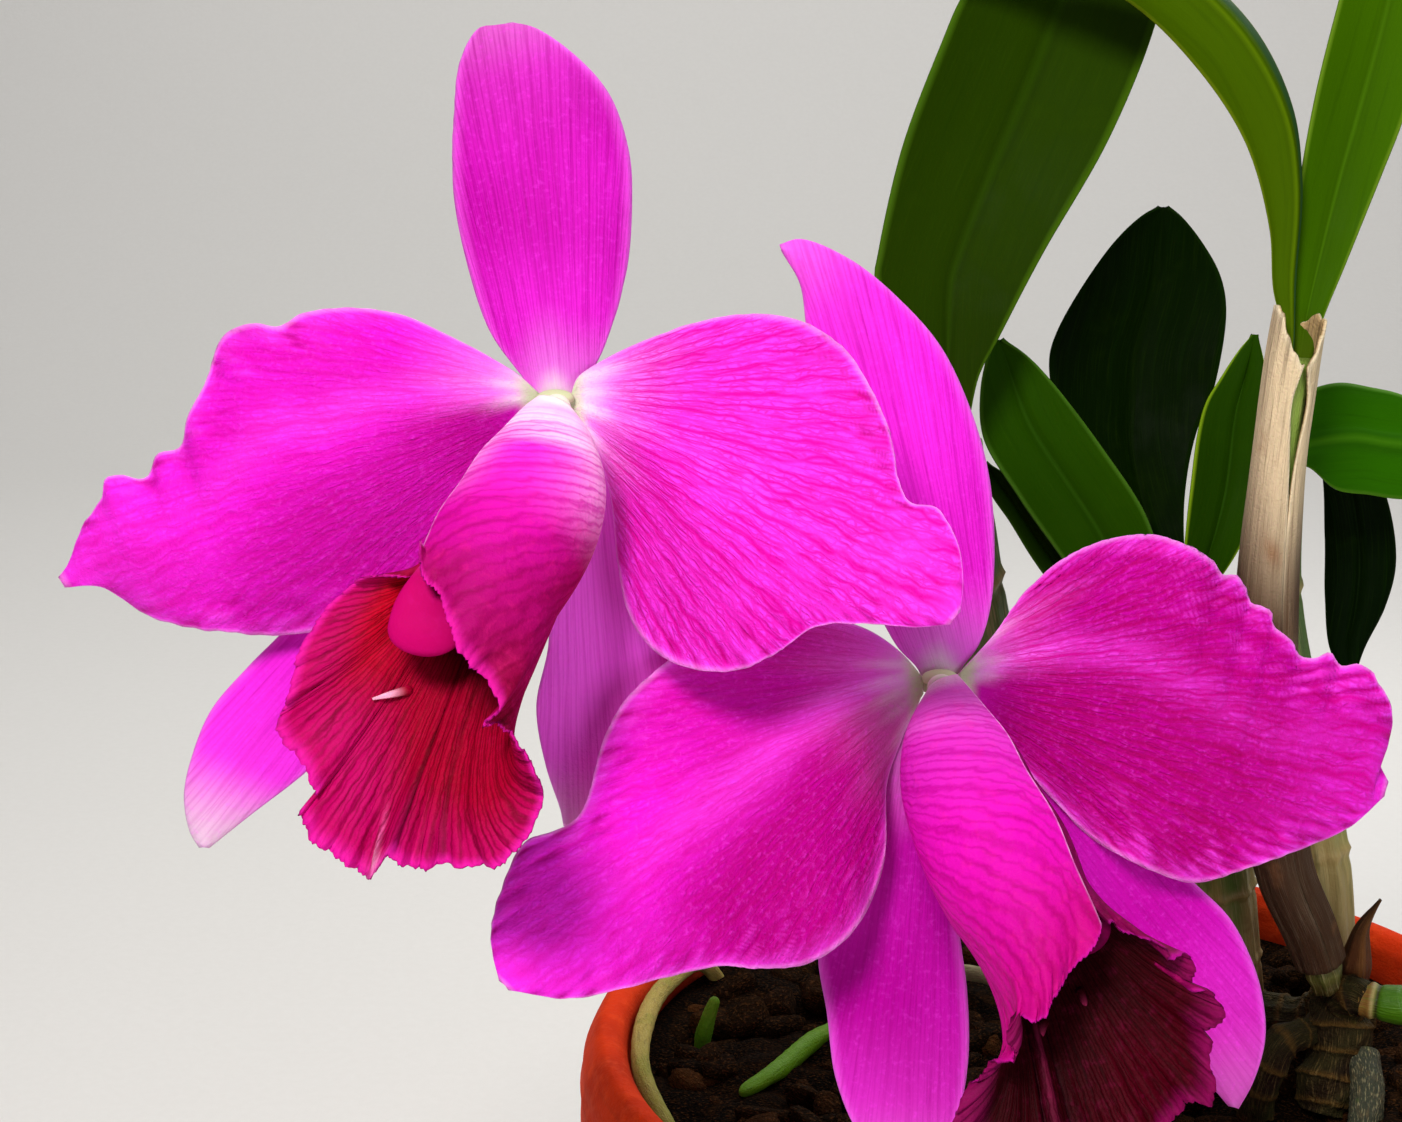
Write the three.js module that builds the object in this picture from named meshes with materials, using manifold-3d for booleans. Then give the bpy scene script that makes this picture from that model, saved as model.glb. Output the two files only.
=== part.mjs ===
// Cattleya orchid in a terracotta pot.
// Millimetres, +Z up, origin at the centre of the pot's foot. The flowers look toward -Y.
import * as THREE from "three";
import { mergeVertices } from "three/addons/utils/BufferGeometryUtils.js";
import ManifoldModule from "manifold-3d";

const solids = await ManifoldModule();
solids.setup();

// Pot.
const potHeight = 162;
const footRadius = 64;
const lipOuterRadius = 102;
const lipInnerRadius = 92;
const lipBandHeight = 40;
const wallThickness = 9;
const floorThickness = 12;
const footEase = 3;
const bandStep = 8;
const lipRound = 9;
const potSides = 40;
const drainRadius = 5;
const drainCircleRadius = 30;
const drainCount = 3;
const drainSides = 12;

// Potting medium.
const mediumDrop = 10;
const touchGap = 0.3;
const groundRoughness = 1.3;
const barkCount = 34;
const barkSeed = 41;
const barkSpread = 76;
const barkLeast = [10, 7, 5];
const barkSpare = [9, 6, 3];
const barkShrink = 0.7;
const barkVary = 0.4;
const barkTilt = 0.7;
const barkSink = 1;
const barkLift = 2.5;

// Blades and petals.
const petalThickness = 0.8;
const lipThickness = 0.7;
const leafThickness = 1.1;
const sheathThickness = 0.7;
const claspRadius = 1;

// Outlines are laid in upright planes that lean back by this angle.
// Their relief runs toward one point in front of the plant.
const planeLean = THREE.MathUtils.degToRad(75.9);
const planeUp = new THREE.Vector3(0, Math.cos(planeLean), Math.sin(planeLean));
const planeOut = new THREE.Vector3(0, -Math.sin(planeLean), Math.cos(planeLean));
const frontPoint = new THREE.Vector3(-76.4, -486.7, 384.6);
const leftBloom = new THREE.Vector3(-100.2, -84.6, 310.7);
const rightBloom = new THREE.Vector3(-36.2, -84.2, 262.9);
const foliage = new THREE.Vector3(19.4, -13.6, 297.7);

function placeAt(origin, x, y, z) {
  const reach = frontPoint.clone().sub(origin).dot(planeOut);
  const point = origin.clone().addScaledVector(planeUp, y);
  point.x += x;
  return point.lerp(frontPoint, z / reach);
}

function valueAlong(values, t) {
  const last = values.length - 1;
  const at = THREE.MathUtils.clamp(t, 0, 1) * last;
  const cell = Math.min(Math.floor(at), last - 1);
  const f = at - cell;
  const [a, b, c, d] = [-1, 0, 1, 2].map((k) => values[THREE.MathUtils.clamp(cell + k, 0, last)]);
  return b + 0.5 * f * (c - a + f * (2 * a - 5 * b + 4 * c - d + f * (3 * (b - c) + d - a)));
}

function seededDraw(seed) {
  const modulus = 2147483647;
  const multiplier = 16807;
  let state = seed;
  return () => {
    state = (state * multiplier) % modulus;
    return state / modulus;
  };
}

function smoothLine(points) {
  const vectors = points.map(([x, y, z = 0]) => new THREE.Vector3(x, y, z));
  return new THREE.CatmullRomCurve3(vectors, false, "centripetal");
}

// Turns the faces of a closed body outward when its volume comes out negative.
function closedBody(points, faces) {
  const volume = faces.reduce((sum, [a, b, c]) => {
    return sum + points[a].dot(points[b].clone().cross(points[c]));
  }, 0);
  const ordered = volume < 0 ? faces.map(([a, b, c]) => [a, c, b]) : faces;
  const geometry = new THREE.BufferGeometry().setFromPoints(points);
  geometry.setIndex(ordered.flat());
  return geometry;
}

// A closed blade: a grid of middle points thickened by half a thickness to each side.
function bladeBody(grid, thickness) {
  const rows = grid.length;
  const columns = grid[0].length;
  const front = [];
  const back = [];
  for (let i = 0; i < rows; i += 1) {
    for (let j = 0; j < columns; j += 1) {
      const along = grid[Math.min(i + 1, rows - 1)][j].clone().sub(grid[Math.max(i - 1, 0)][j]);
      const across = grid[i][Math.min(j + 1, columns - 1)].clone().sub(grid[i][Math.max(j - 1, 0)]);
      const normal = across.cross(along).setLength(thickness / 2);
      front.push(grid[i][j].clone().add(normal));
      back.push(grid[i][j].clone().sub(normal));
    }
  }
  const points = [...front, ...back];
  const behind = front.length;
  const faces = [];
  for (let i = 0; i < rows - 1; i += 1) {
    for (let j = 0; j < columns - 1; j += 1) {
      const a = i * columns + j;
      const b = a + 1;
      const c = a + columns;
      const d = c + 1;
      faces.push([a, b, d], [a, d, c]);
      faces.push([behind + a, behind + d, behind + b], [behind + a, behind + c, behind + d]);
    }
  }
  const rim = [];
  for (let j = 0; j < columns - 1; j += 1) rim.push(j);
  for (let i = 0; i < rows - 1; i += 1) rim.push(i * columns + columns - 1);
  for (let j = columns - 1; j > 0; j -= 1) rim.push((rows - 1) * columns + j);
  for (let i = rows - 1; i > 0; i -= 1) rim.push(i * columns);
  rim.forEach((a, k) => {
    const b = rim[(k + 1) % rim.length];
    faces.push([a, behind + a, b], [b, behind + a, behind + b]);
  });
  return closedBody(points, faces);
}

// A closed round stem whose radius follows a list of values from its start to its end.
function stemBody(line, radii, sides, steps, extra = 0) {
  const frames = line.computeFrenetFrames(steps, false);
  const points = [];
  for (let i = 0; i <= steps; i += 1) {
    const t = i / steps;
    const centre = line.getPointAt(t);
    if (i === 0) centre.addScaledVector(frames.tangents[i], -extra);
    if (i === steps) centre.addScaledVector(frames.tangents[i], extra);
    const radius = valueAlong(radii, t) + extra;
    for (let j = 0; j < sides; j += 1) {
      const angle = (2 * Math.PI * j) / sides;
      const point = centre.clone().addScaledVector(frames.normals[i], radius * Math.cos(angle));
      points.push(point.addScaledVector(frames.binormals[i], radius * Math.sin(angle)));
    }
  }
  const start = points.push(line.getPointAt(0).addScaledVector(frames.tangents[0], -extra)) - 1;
  const end = points.push(line.getPointAt(1).addScaledVector(frames.tangents[steps], extra)) - 1;
  const faces = [];
  for (let i = 0; i < steps; i += 1) {
    for (let j = 0; j < sides; j += 1) {
      const a = i * sides + j;
      const b = i * sides + ((j + 1) % sides);
      faces.push([a, b, b + sides], [a, b + sides, a + sides]);
    }
  }
  for (let j = 0; j < sides; j += 1) {
    const next = (j + 1) % sides;
    const top = steps * sides;
    faces.push([start, next, j], [end, top + j, top + next]);
  }
  return closedBody(points, faces);
}

function toSolid(geometry) {
  const plain = new THREE.BufferGeometry();
  plain.setAttribute("position", geometry.getAttribute("position"));
  if (geometry.index) plain.setIndex(geometry.index);
  const welded = mergeVertices(plain, 1e-4);
  return new solids.Manifold(new solids.Mesh({
    numProp: 3,
    vertProperties: new Float32Array(welded.getAttribute("position").array),
    triVerts: new Uint32Array(welded.index.array),
  }));
}

function fromSolid(solid) {
  const mesh = solid.getMesh();
  const geometry = new THREE.BufferGeometry();
  geometry.setAttribute("position", new THREE.BufferAttribute(mesh.vertProperties, mesh.numProp));
  geometry.setIndex(new THREE.BufferAttribute(mesh.triVerts, 1));
  return geometry;
}

const plant = new THREE.Group();
plant.name = "cattleya_orchid";

function add(name, geometry, colour, roughness) {
  const material = new THREE.MeshStandardMaterial({ color: colour, roughness, metalness: 0 });
  material.name = name;
  const mesh = new THREE.Mesh(geometry, material);
  mesh.name = name;
  plant.add(mesh);
}

// Pot: a turned body with a heavy lip band and drain holes off the middle of its floor.
const bandBottom = potHeight - lipBandHeight;
const bandUnderRadius = lipOuterRadius - bandStep;
const innerFootRadius = footRadius - wallThickness;
const innerBandRadius = bandUnderRadius - wallThickness;
const potProfile = [
  [0, 0],
  [footRadius - footEase, 0],
  [footRadius, footEase],
  [bandUnderRadius, bandBottom - bandStep / 4],
  [lipOuterRadius - lipRound / 3, bandBottom],
  [lipOuterRadius, bandBottom + lipRound / 2],
  [lipOuterRadius, potHeight - lipRound],
  [lipOuterRadius - lipRound / 5, potHeight - lipRound / 3],
  [lipOuterRadius - lipRound / 2, potHeight],
  [lipInnerRadius + lipRound / 4, potHeight - lipRound / 12],
  [lipInnerRadius, potHeight - lipRound / 2],
  [innerBandRadius, bandBottom],
  [innerFootRadius, floorThickness],
  [0, floorThickness],
].map(([r, z]) => new THREE.Vector2(r, z));

function turned(profile) {
  const geometry = new THREE.LatheGeometry(profile, potSides);
  geometry.rotateX(Math.PI / 2);
  return geometry;
}

let pot = toSolid(turned(potProfile));
for (let k = 0; k < drainCount; k += 1) {
  const angle = Math.PI / 2 + (2 * Math.PI * k) / drainCount;
  const drain = new THREE.CylinderGeometry(drainRadius, drainRadius, 3 * floorThickness, drainSides);
  drain.rotateX(Math.PI / 2);
  drain.translate(drainCircleRadius * Math.cos(angle), drainCircleRadius * Math.sin(angle), 0);
  pot = pot.subtract(toSolid(drain));
}
add("pot", fromSolid(pot), 0xb5401c, 0.7);

// Rhizome: a creeping stem with swollen nodes, half sunk in the medium.
const mediumTop = potHeight - mediumDrop;
const rhizomeLine = smoothLine([
  [-2, -6, 153], [8, 2, 155], [24, 15, 156], [42, 14, 156], [57, 6, 160], [57, -6, 168], [53, -14, 172],
]);
const rhizomeRadii = [3.5, 6.6, 5.2, 7, 5.4, 7.2, 5.4, 7.2, 5.6, 7.4, 6.2, 7.4, 5.6];
const stubs = [
  { line: smoothLine([[55, -10, 172], [54, -13, 162], [51, -17, 150]]), radii: [5, 7.4, 6, 7.2, 5] },
  { line: smoothLine([[53, -14, 173], [56, -17, 176], [58, -18.8, 175.6]]), radii: [3.5, 4.4, 3.8] },
  { line: smoothLine([[50, -12, 166], [41, -19, 166], [37, -21, 158], [36, -21, 146]]),
    radii: [3, 3.6, 4.2, 4, 4] },
];
function rhizomeSolid(extra) {
  const main = toSolid(stemBody(rhizomeLine, rhizomeRadii, 7, 18, extra));
  return stubs.reduce((sum, stub) => {
    return sum.add(toSolid(stemBody(stub.line, stub.radii, 7, 6, extra)));
  }, main);
}
const rhizomeRoom = rhizomeSolid(touchGap);
add("rhizome", fromSolid(rhizomeSolid(0)), 0x6b5a2e, 0.85);

// Roots. Each dips into a hole of its own shape in the medium.
const roots = [
  { name: "wall_root", colour: 0xc9b98a, sides: 7, steps: 16, radii: [1.7, 1.9, 2, 1.9, 1.8],
    path: [[-70, 50, 146], [-76, 45.5, 156], [-84.5, 28, 158], [-88.4, 8, 158.5], [-88.6, -12, 157],
      [-83.6, -27, 152.5], [-76, -35, 144]] },
  { name: "green_root_tip", colour: 0x6f8f3a, sides: 7, steps: 6, radii: [2, 2.1, 2, 1.2],
    path: [[-76.4, 11, 144], [-76, 9.6, 154], [-74.6, 9, 160], [-73.2, 9, 164]] },
  { name: "green_root", colour: 0x86b03c, sides: 7, steps: 12, radii: [0.9, 1.7, 1.7, 1.7, 1.7, 1.7],
    path: [[-68, -12, 154.6], [-61, -3, 154.6], [-49, 17, 154], [-36, 27, 153], [-24, 30, 146]] },
  { name: "white_root", colour: 0xd8d0b0, sides: 7, steps: 12, radii: [1.8, 1.8, 1.8, 1.8],
    path: [[-34, 44, 146], [-26, 40, 155], [-15, 33, 159], [0, 20, 157], [11, 7, 155]] },
  { name: "old_root", colour: 0x9aa38a, sides: 7, steps: 8, radii: [3.2, 3.4, 3.4, 3.2],
    path: [[59, -15, 163], [58.5, -22, 158], [57, -27, 151], [56, -30, 143]] },
];
const stemRooms = [];
roots.forEach((root) => {
  const line = smoothLine(root.path);
  const body = toSolid(stemBody(line, root.radii, root.sides, root.steps));
  stemRooms.push(toSolid(stemBody(line, root.radii, root.sides, root.steps, touchGap)));
  add(root.name, fromSolid(body.subtract(rhizomeRoom)), root.colour, 0.7);
});

// Pseudobulbs: club-shaped stems that saddle on the rhizome and carry the leaves.
const sheathedLine = smoothLine([
  [34.2, -32.8, 321], [34, -30, 310], [32.6, -27, 291], [32, -26, 282], [32, -24, 266], [33, -22, 244],
  [35.5, -19.5, 223], [40, -18, 203], [46, -17, 190], [51, -15, 177],
]);
const sheathedTop = 0.088;
const sheathRadii = [4.5, 4.8, 5, 5.7, 6.3, 6.5, 6.3, 6, 5.6, 5];
const bulbs = [
  { name: "flowering_pseudobulb", colour: 0x5d7a34, radii: [4.6, 6.4, 7.6, 8, 7.4, 6, 4.4, 3.6],
    path: [[-27.5, -19.4, 290.6], [-26, -17, 274], [-23, -13, 250], [-14, -7, 219], [-2, -3, 191],
      [8, 1, 158]] },
  { name: "pseudobulb_b", colour: 0x6d8040, radii: [4.2, 5.4, 6.2, 6.2, 5.4, 4.2],
    path: [[21, 1, 252], [25, 5, 232], [32, 10, 204], [36, 13, 184], [41, 14, 160]] },
  { name: "pseudobulb_c", colour: 0x5d7a34, radii: [4.6, 5.6, 6.2, 5.6, 4.4],
    path: [[9, -9, 247], [13, 1, 220], [18, 9, 193], [24, 14, 160]] },
  { name: "pseudobulb_d", colour: 0x7d8a5c, radii: [3.8, 4.4, 4.8, 5, 4.8, 4.2],
    path: [[38.5, -6, 282], [40, -1, 255], [47, 2, 224], [54, 5, 196], [58, 4, 163]] },
];
bulbs.forEach((bulb) => {
  const line = smoothLine(bulb.path);
  const body = toSolid(stemBody(line, bulb.radii, 10, 9));
  stemRooms.push(toSolid(stemBody(line, bulb.radii, 10, 9, touchGap)));
  add(bulb.name, fromSolid(body.subtract(rhizomeRoom)), bulb.colour, 0.5);
});

// The sheathed pseudobulb keeps a small gap inside its papery sheath, which has a slit at its front.
const sheathGap = 0.9;
const sheathedBodyLine = smoothLine(
  [0, 0.12, 0.25, 0.4, 0.55, 0.7, 0.85, 1].map((t) => {
    return sheathedLine.getPointAt(THREE.MathUtils.lerp(sheathedTop, 1, t)).toArray();
  }),
);
const sheathedRadii = [0, 0.14, 0.28, 0.42, 0.57, 0.71, 0.86, 1].map((t) => {
  return valueAlong(sheathRadii, THREE.MathUtils.lerp(sheathedTop, 1, t)) - sheathThickness - sheathGap;
});
const sheathedBody = toSolid(stemBody(sheathedBodyLine, sheathedRadii, 11, 10));
add("sheathed_pseudobulb", fromSolid(sheathedBody.subtract(rhizomeRoom)), 0x7d9440, 0.5);

const sheathRows = 10;
const sheathColumns = 11;
const slitTurn = THREE.MathUtils.degToRad(23);
const slitHalfAngles = [4, 20, 12, 3, 3, 3, 3, 3, 3, 3].map((angle) => THREE.MathUtils.degToRad(angle));
const sheathBottom = 0.955;
const sheathCollar = [3, 0.6, 0, 3, 6, 8, 10, 11.5];
const sheathGrid = [];
for (let i = 0; i <= sheathRows; i += 1) {
  const row = [];
  for (let j = 0; j <= sheathColumns; j += 1) {
    const turn = j / sheathColumns;
    const collar = valueAlong(sheathCollar, turn) / sheathedLine.getLength();
    const t = THREE.MathUtils.lerp(sheathedTop * 0.95 - collar, sheathBottom, i / sheathRows);
    const share = Math.max(t, 0);
    const axis = sheathedLine.getTangentAt(share);
    const side = new THREE.Vector3(1, 0, 0).addScaledVector(axis, -axis.x).normalize();
    const out = side.clone().cross(axis).normalize();
    const half = valueAlong(slitHalfAngles, i / sheathRows);
    const angle = slitTurn + half + (2 * Math.PI - 2 * half) * turn;
    const radius = valueAlong(sheathRadii, share) - sheathThickness / 2;
    const point = sheathedLine.getPointAt(share);
    point.addScaledVector(out, -radius * Math.cos(angle));
    row.push(point.addScaledVector(side, radius * Math.sin(angle)));
  }
  sheathGrid.push(row);
}
add("papery_sheath", bladeBody(sheathGrid, sheathThickness), 0xc8a878, 0.85);

// Bud scale and young shoot beside the sheathed stem.
const shootLine = smoothLine([[57, -18, 175.6], [66, -22, 176], [74, -24, 180], [80, -24, 189]]);
const shootBody = toSolid(stemBody(shootLine, [3.4, 3.9, 3.8, 3, 0.6], 9, 10));
add("young_shoot", fromSolid(shootBody.subtract(rhizomeRoom)), 0x7fb83a, 0.45);
const scaleLine = smoothLine([[58, -7.5, 174.5], [57, -12, 183], [57, -15, 190], [59.5, -18, 197]]);
const scaleBody = toSolid(stemBody(scaleLine, [3, 3.4, 2.6, 1.4, 0.4], 7, 8));
add("bud_scale", fromSolid(scaleBody.subtract(rhizomeRoom)), 0x7a4526, 0.85);

// Medium: fills the pot with a small gap, with bark pieces fused into its top.
const mediumProfile = [
  [0, floorThickness + touchGap],
  [innerFootRadius - touchGap, floorThickness + touchGap],
  [innerBandRadius - touchGap, bandBottom],
  ...[90, 72, 52, 28, 0].map((r) => [r, mediumTop]),
].map(([r, z]) => new THREE.Vector2(r, z));
const mediumBody = turned(mediumProfile);
const ground = mediumBody.getAttribute("position");
for (let k = 0; k < ground.count; k += 1) {
  const x = ground.getX(k);
  const y = ground.getY(k);
  const inside = Math.hypot(x, y) < lipInnerRadius - 4;
  const rough = Math.sin(0.23 * x + 1.3) * Math.cos(0.19 * y) + Math.sin(0.11 * x - 0.29 * y);
  if (inside && ground.getZ(k) > mediumTop - 1) ground.setZ(k, mediumTop + groundRoughness * rough);
}
let medium = toSolid(mediumBody);
const draw = seededDraw(barkSeed);
for (let k = 0; k < barkCount; k += 1) {
  const bark = new THREE.BoxGeometry(...barkLeast.map((least, side) => least + barkSpare[side] * draw()));
  bark.deleteAttribute("uv");
  bark.deleteAttribute("normal");
  const corners = mergeVertices(bark);
  const place = corners.getAttribute("position");
  for (let c = 0; c < place.count; c += 1) {
    place.setXYZ(
      c,
      place.getX(c) * (barkShrink + barkVary * draw()),
      place.getY(c) * (barkShrink + barkVary * draw()),
      place.getZ(c) * (barkShrink + barkVary * draw()),
    );
  }
  corners.rotateX(barkTilt * (draw() - 0.5));
  corners.rotateY(barkTilt * (draw() - 0.5));
  corners.rotateZ(2 * Math.PI * draw());
  const radius = barkSpread * Math.sqrt(draw());
  const angle = 2 * Math.PI * draw();
  const height = mediumTop - barkSink + barkLift * draw();
  corners.translate(radius * Math.cos(angle), radius * Math.sin(angle), height);
  medium = medium.add(toSolid(corners));
}
medium = stemRooms.reduce((rest, room) => rest.subtract(room), medium.subtract(rhizomeRoom));
const mediumParts = medium.decompose().sort((a, b) => b.volume() - a.volume());
add("potting_medium", fromSolid(mediumParts[0]), 0x3a2a1e, 0.95);

// A blade between two edges: its middle line and its edges have their own relief, and its edges wave.
function bladeGrid(origin, blade, rows, columns) {
  const edges = blade.edges.map((edge) => smoothLine(edge));
  const grid = [];
  for (let i = 0; i <= rows; i += 1) {
    const t = i / rows;
    const ends = edges.map((edge) => edge.getPointAt(t));
    const middle = ends[0].clone().lerp(ends[1], blade.middle ?? 0.5);
    const row = [];
    for (let j = 0; j <= columns; j += 1) {
      const across = (2 * j) / columns - 1;
      const side = across < 0 ? 0 : 1;
      const share = Math.abs(across);
      const flat = middle.clone().lerp(ends[side], share);
      const [size, count, phase] = blade.waves ? blade.waves[side] : [0, 0, 0];
      const wave = size * Math.sin(2 * Math.PI * count * t + phase) * Math.sin(Math.PI * t) ** 0.5;
      const edgeRelief = valueAlong(blade.sides[side], t) * share * share;
      row.push(placeAt(origin, flat.x, flat.y, valueAlong(blade.rise, t) + edgeRelief + wave * share ** 3));
    }
    grid.push(row);
  }
  return grid;
}

// Sepals and petals. Edges run from the claw to the tip, each in millimetres from the flower's centre.
const bloomBlades = {
  left_dorsal_sepal: {
    origin: leftBloom, rows: 13, columns: 4, rise: [-2, -4, -6.5, -9, -13],
    sides: [[0, -2.5, -3.5, -3, -1], [0, -2.5, -3.5, -3, -1]],
    edges: [
      [[-2.5, 2], [-5.5, 3.5], [-10.5, 11], [-14, 21], [-16.5, 33.5], [-16.5, 45.5],
        [-15.5, 55], [-12.5, 60.5], [-10, 61]],
      [[2.5, 2], [7, 6.5], [11.5, 20.5], [12.5, 32], [12, 40.5], [9, 49.5], [4, 55.5],
        [-3, 60.5], [-7, 61.5]],
    ],
  },
  left_petal_outer: {
    origin: leftBloom, rows: 20, columns: 6, rise: [-1, -1.5, -7, -16, -27],
    sides: [[0, -3, -4, -3, -1], [0, -5, -6, -4, -1]],
    waves: [[1.8, 5, 0.5], [1.6, 4, 2]],
    edges: [
      [[-2.5, 1], [-6.5, 4.5], [-17.5, 10.5], [-25.5, 14], [-34, 15], [-41.5, 14], [-45, 12],
        [-49.5, 12.5], [-54, 10.5], [-57, 3], [-60, -3], [-61, -7.5], [-65, -9], [-66.5, -12.5],
        [-73, -12.5], [-74, -16], [-77, -20.5], [-79.5, -27], [-81, -29]],
      [[-3, -2], [-9, -12], [-16, -24], [-27, -34], [-41, -38], [-52.5, -38], [-65.5, -35.5],
        [-74, -30.5], [-80, -30.5]],
    ],
  },
  left_petal_inner: {
    origin: leftBloom, rows: 18, columns: 6, rise: [-1, 5, 12, 20, 27],
    sides: [[0, -2, -3, -3, -1], [0, -3, -4, -3, -1]],
    waves: [[1.6, 5, 1], [1.6, 4, 0]],
    edges: [
      [[3, 1], [7, 6], [15.5, 10], [24.5, 13], [33, 14], [41, 12.5], [47.5, 8], [52, 1],
        [54.5, -5], [56.5, -14.5], [58.5, -17], [62, -17.5], [65.5, -23], [66.5, -29.5],
        [66, -34.5]],
      [[3, -2], [6, -7], [9, -15], [10.5, -28], [12.5, -36], [17, -41.5], [23, -44],
        [30, -44], [36.5, -41], [42.5, -37], [50.5, -36.5], [59, -37], [64.5, -36.5]],
    ],
  },
  left_sepal_outer: {
    origin: leftBloom, rows: 13, columns: 4, rise: [-2, -12, -21, -27, -30],
    sides: [[0, -1.5, -2.5, -2.5, -1], [0, -1.5, -2.5, -2.5, -1]],
    edges: [
      [[-3.5, -1.5], [-18, -12], [-33, -26], [-45, -38.5], [-50, -43.5], [-56, -50.5],
        [-59, -57.5], [-60.5, -64.5], [-59.5, -70.5], [-58, -73]],
      [[-1, -4], [-9, -18], [-20, -36], [-31, -51], [-40.5, -60.5], [-49.5, -67.5], [-56.5, -73]],
    ],
  },
  left_sepal_inner: {
    origin: leftBloom, rows: 13, columns: 4, rise: [-2, -8, -12, -15, -16],
    sides: [[0, -1.5, -2.5, -2.5, -1], [0, -1.5, -2.5, -2.5, -1]],
    edges: [
      [[0, -4], [-1, -12], [-1.5, -25], [-1, -39.5], [-3, -50], [-1.5, -59.5], [1, -67],
        [1.5, -69.5]],
      [[3.5, -3], [10, -12], [17, -24], [21, -36], [20, -48], [15, -59], [8, -67], [3, -70]],
    ],
  },
  right_dorsal_sepal: {
    origin: rightBloom, rows: 14, columns: 4, rise: [-2, -5, -9, -12, -14],
    sides: [[0, -2, -3, -2.5, -1], [0, -2, -3, -2.5, -1]],
    edges: [
      [[-2.5, 2], [-7.5, 6], [-14, 20], [-17.5, 33.5], [-21, 47], [-22.5, 59.5], [-23.5, 66.5],
        [-26.5, 72]],
      [[3, 2], [6.5, 6], [8.5, 13], [9, 24.5], [8, 35], [5, 45.5], [0, 56],
        [-7, 64], [-15, 70.5], [-23.5, 74], [-27, 73]],
    ],
  },
  right_petal_inner: {
    origin: rightBloom, rows: 18, columns: 6, rise: [-1, 5, 11, 18, 24],
    sides: [[0, -2, -3, -3, -1], [0, -3, -4, -3, -1]],
    waves: [[1.4, 4, 2.4], [1.6, 5, 1]],
    edges: [
      [[-3, 0.5], [-6.5, 4.5], [-12.5, 8.5], [-20, 10.5], [-30, 10.5], [-39, 7.5], [-46, 3],
        [-53, -3.5], [-56.5, -10], [-60.5, -22.5], [-65, -25.5], [-69.5, -27], [-74, -36],
        [-75.5, -44], [-74, -50.5]],
      [[-3, -2.5], [-6.5, -10], [-9, -17], [-9.5, -30.5], [-14.5, -42], [-22, -47.5],
        [-30.5, -48.5], [-36.5, -48], [-42.5, -49], [-52, -51.5], [-62.5, -53.5], [-72.5, -52]],
    ],
  },
  right_petal_outer: {
    origin: rightBloom, rows: 18, columns: 6, rise: [-1, -2, -8, -16, -25],
    sides: [[0, -3, -4, -3, -1], [0, -5, -6, -4, -1]],
    waves: [[1.6, 5, 0], [1.8, 4, 2]],
    edges: [
      [[3, 1], [8.5, 7], [14.5, 15], [21, 20.5], [28.5, 23.5], [37.5, 24], [43.5, 21.5],
        [50, 17], [55, 11.5], [60.5, 4.5], [65, 4], [69.5, 2.5], [75, -1.5], [76, -7.5],
        [74, -14.5], [75, -17.5]],
      [[3, -1.5], [10, -10], [18.5, -19.5], [25.5, -26.5], [35.5, -32], [42.5, -34],
        [52, -31.5], [61.5, -28], [69, -24.5], [74.5, -19.5]],
    ],
  },
  right_sepal_inner: {
    origin: rightBloom, rows: 13, columns: 4, rise: [-2, -8, -11, -12, -11],
    sides: [[0, -1.5, -2.5, -2.5, -1], [0, -1.5, -2.5, -2.5, -1]],
    edges: [
      [[-3, -3], [-13, -20], [-19, -34], [-20.5, -46], [-19, -56], [-17.5, -67],
        [-13.5, -76.5], [-7.5, -83]],
      [[0, -4], [1.5, -20], [3, -41], [4.5, -53], [4.5, -65], [2, -75.5], [-5.5, -83]],
    ],
  },
  right_sepal_outer: {
    origin: rightBloom, rows: 13, columns: 4, rise: [-2, -12, -21, -26, -27],
    sides: [[0, -1.5, -2.5, -2.5, -1], [0, -1.5, -2.5, -2.5, -1]],
    edges: [
      [[1, -4], [10, -18], [22, -36], [34, -53], [42, -64], [48.5, -71.5]],
      [[3.5, -2.5], [16, -12], [30, -22], [42.5, -34], [48.5, -40], [52, -46.5], [54, -53],
        [54.5, -60.5], [52.5, -67.5], [50, -72]],
    ],
  },
};
Object.entries(bloomBlades).forEach(([name, blade]) => {
  const grid = bladeGrid(blade.origin, blade, blade.rows, blade.columns);
  const colour = name.includes("petal") ? 0xd522c4 : 0xcc35c2;
  add(name, bladeBody(grid, petalThickness), colour, 0.6);
});

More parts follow.
